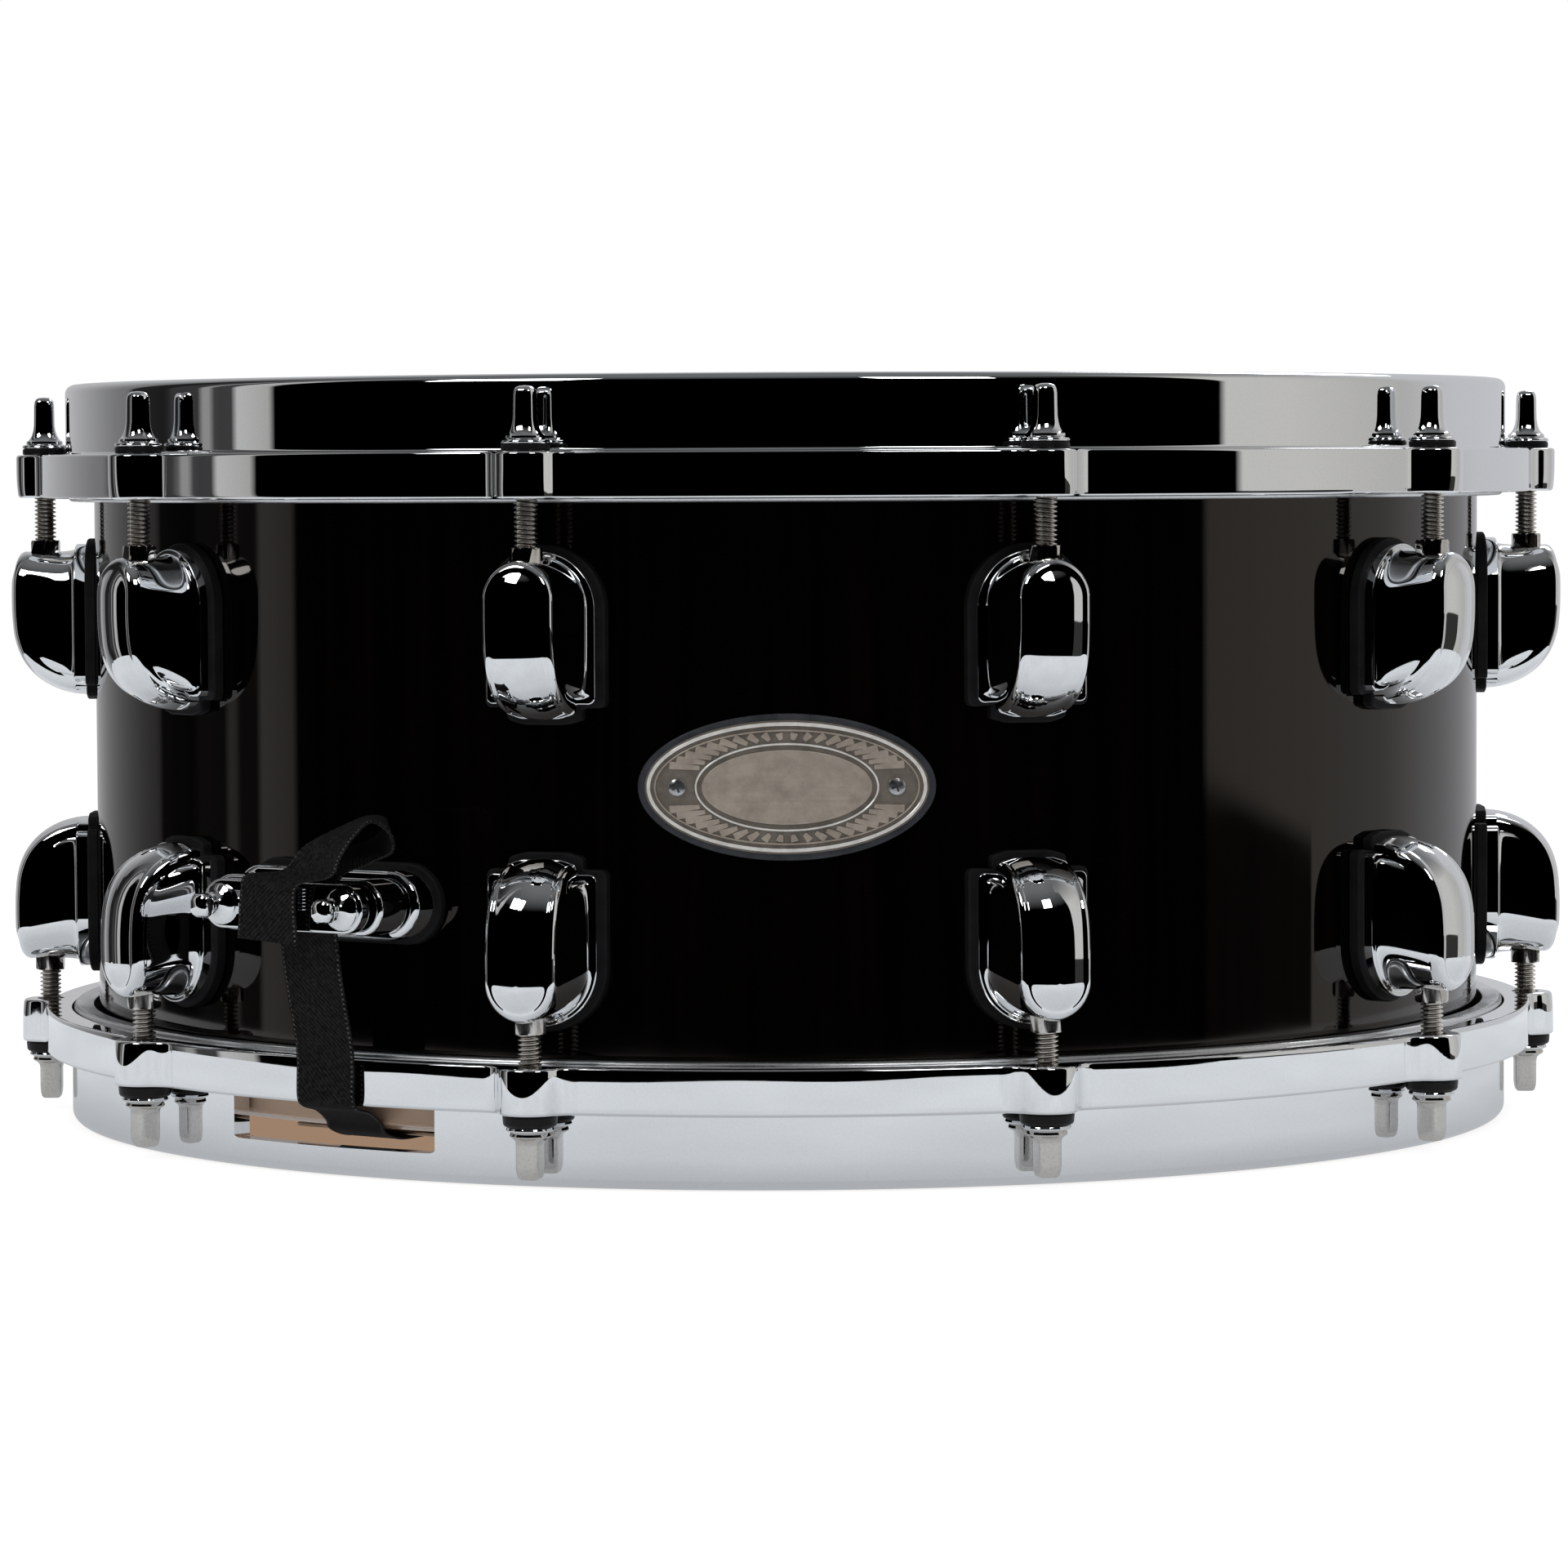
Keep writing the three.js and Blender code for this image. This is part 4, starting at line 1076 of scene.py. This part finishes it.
def far(graph):
    """The distance of a point on the floor from the drum's axis, and its place."""
    place = graph.new("NewGeometry", output="Position")
    node = graph.new("VectorMath", place).node
    node.operation = "LENGTH"
    return node.outputs["Value"], place


def floor_glow():
    """The lit round of floor, with the drum's shadow painted in: dimmer close to the drum, and a little
    uneven.
    """
    material = bpy.data.materials.new("floor_round")
    graph = Graph(material)
    graph.nodes.clear()
    distance, place = far(graph)
    # Painted shadow: the glow falls off towards the drum, standing in for the drum's shade on the floor as
    # the chrome reflects it.
    stops = [(0.19, 0.52), (0.24, 0.68), (0.36, 0.78)]
    colour = graph.ramp(distance, [(at, (v * 0.93, v * 0.965, v)) for at, v in stops])
    uneven = graph.spread(graph.noise(7, 2, place, 0.5), 0.86, 1.14, 0, 1)
    out = graph.nodes.new("ShaderNodeOutputMaterial")
    graph.put(out, "Surface", graph.new("Emission", Color=colour, Strength=uneven))
    return material


def make_floor():
    """A pale floor, with a painted pool of warm light under the drum. Only a round of it near the drum is
    bright enough to show in the chrome.
    """
    size = 9000
    sheet = Shape().add([(*corner[:2], -0.2) for corner in box(-size, size, -size, size, 0)], [(0, 1, 2, 3)])
    floor = linked("floor", sheet.mesh("floor"))
    material = bpy.data.materials.new("floor")
    graph = Graph(material)
    shader = graph.nodes["Principled BSDF"]
    # Inside the drum's footprint the floor is painted tan and glows: painted warm light, standing in for
    # light through the heads off the wood inside.
    colour = graph.ramp(far(graph)[0], [(0.165, (0.36, 0.235, 0.155)), (0.185, (1, 1, 1))])
    for socket, value in (("Roughness", 0.9), ("Specular IOR Level", 0.0), ("Base Color", colour)):
        graph.put(shader, socket, value)
    glow = graph.new("Emission", Color=colour, Strength=1.14)
    mixed = graph.new("MixShader", 0.8, shader.outputs[0], glow)
    graph.put(graph.nodes["Material Output"], "Surface", mixed)
    floor.data.materials.append(material)
    floor.visible_glossy = False
    lit_radius = 466
    lit = Shape().turned([(0.01, 0.05), (lit_radius, 0.05)], 96, closed=False)
    glowing = linked("floor_round", lit.mesh("floor_round"))
    glowing.data.materials.append(floor_glow())
    glowing.visible_camera = glowing.visible_diffuse = False
    glowing.visible_shadow = glowing.visible_transmission = False


# The room by direction: degrees round from the camera side, and the walls' brightness and warmth there.
ROOM = [
    (-180, 0.54, 0), (-158, 0.47, 0), (-146, 0.36, 0), (-138, 0.28, 0), (-131, 0.21, 0.1),
    (-125.5, 0.18, 0.2), (-124, 0.02, 0), (-113, 0.012, 0), (-111, 0.04, 0), (-104, 0.04, 0),
    (-103, 0.28, 0.3), (-100.7, 0.28, 0.3), (-99.8, 0.045, 0), (-95, 0.05, 0), (-94.2, 0.5, 0.3),
    (-87.2, 0.40, 0.5), (-86.2, 0.0, 0), (70.8, 0.0, 0), (71.6, 0.56, 0.5), (84, 0.56, 0.6), (100, 0.50, 0.6),
    (113, 0.46, 0.4), (122, 0.53, 0.1), (130, 0.57, -0.2), (180, 0.58, -0.3),
]


def make_room():
    """Dark in front of the drum, pale behind it, and plain white where the camera looks straight at it."""
    world = bpy.data.worlds.new("studio")
    bpy.context.scene.world = world
    graph = Graph(world)
    graph.nodes.clear()
    x, y, z = graph.new("SeparateXYZ", Vector=graph.new("TexCoord", output="Generated")).node.outputs
    azimuth = graph.math("ARCTAN2", x, graph.times(y, -1))
    share = graph.plus(graph.times(azimuth, 1 / (2 * pi)), 0.5)
    stops = []
    for angle, value, warmth in ROOM:
        colour = (value * (1 + 0.03 * warmth), value, value * (1.02 - 0.1 * warmth))
        stops.append(((angle + 180) / 360, colour))
    rise = graph.spread(z, 0.0, 1.0, 0.93, 0.6)
    # The near end of the right wall stops short of the floor, on a slant.
    slanted = graph.math("SUBTRACT", graph.plus(z, graph.times(azimuth, 0.023)), 0.0615)
    foot = graph.spread(slanted, 0.06, 1.0, -0.0895, -0.085)
    before = graph.math("LESS_THAN", azimuth, radians(60))
    beyond = graph.math("GREATER_THAN", azimuth, radians(94.3))
    lit = graph.times(rise, graph.math("MAXIMUM", foot, graph.plus(before, beyond)))
    cool, white = (0.97, 0.985, 1, 1), (1, 1, 1, 1)
    walls = graph.new("Background", Color=graph.ramp(share, stops), Strength=lit)
    ceiling = graph.new("Background", Color=cool, Strength=graph.spread(z, 0.0, 0.16, 0.62, 0.97))
    path = graph.new("LightPath").node.outputs
    even = graph.new("Background", Color=cool, Strength=0.42)
    lighting = graph.new("MixShader", path["Is Diffuse Ray"], graph.new("AddShader", walls, ceiling), even)
    plain = graph.new("Background", Color=white, Strength=1.0)
    out = graph.nodes.new("ShaderNodeOutputWorld")
    graph.put(out, "Surface", graph.new("MixShader", path["Is Camera Ray"], lighting, plain))


def softbox(name, azimuth, elevation, distance, width, height, power):
    """A rectangular light that faces the drum."""
    data = bpy.data.lights.new(name, "AREA")
    data.shape = "RECTANGLE"
    data.size, data.size_y = width, height
    data.energy = power
    obj = linked(name, data)
    e = radians(elevation)
    way = Vector((*around(cos(e), radians(azimuth)), sin(e)))
    obj.location = Vector((0, 0, 0.09)) + way * distance
    obj.rotation_euler = way.to_track_quat("Z", "Y").to_euler()
    return obj


make_camera()
make_floor()
make_room()
softbox("key", -47, 41, 1.5, 0.52, 0.42, 3.6)
softbox("fill", 24, 41, 1.5, 0.40, 0.36, 2.4)
softbox("rear", 150, 42, 1.7, 0.6, 0.4, 5)
softbox("top", 0, 88, 1.7, 1.7, 1.7, 20).visible_glossy = False
bpy.context.scene.view_settings.view_transform = "Standard"
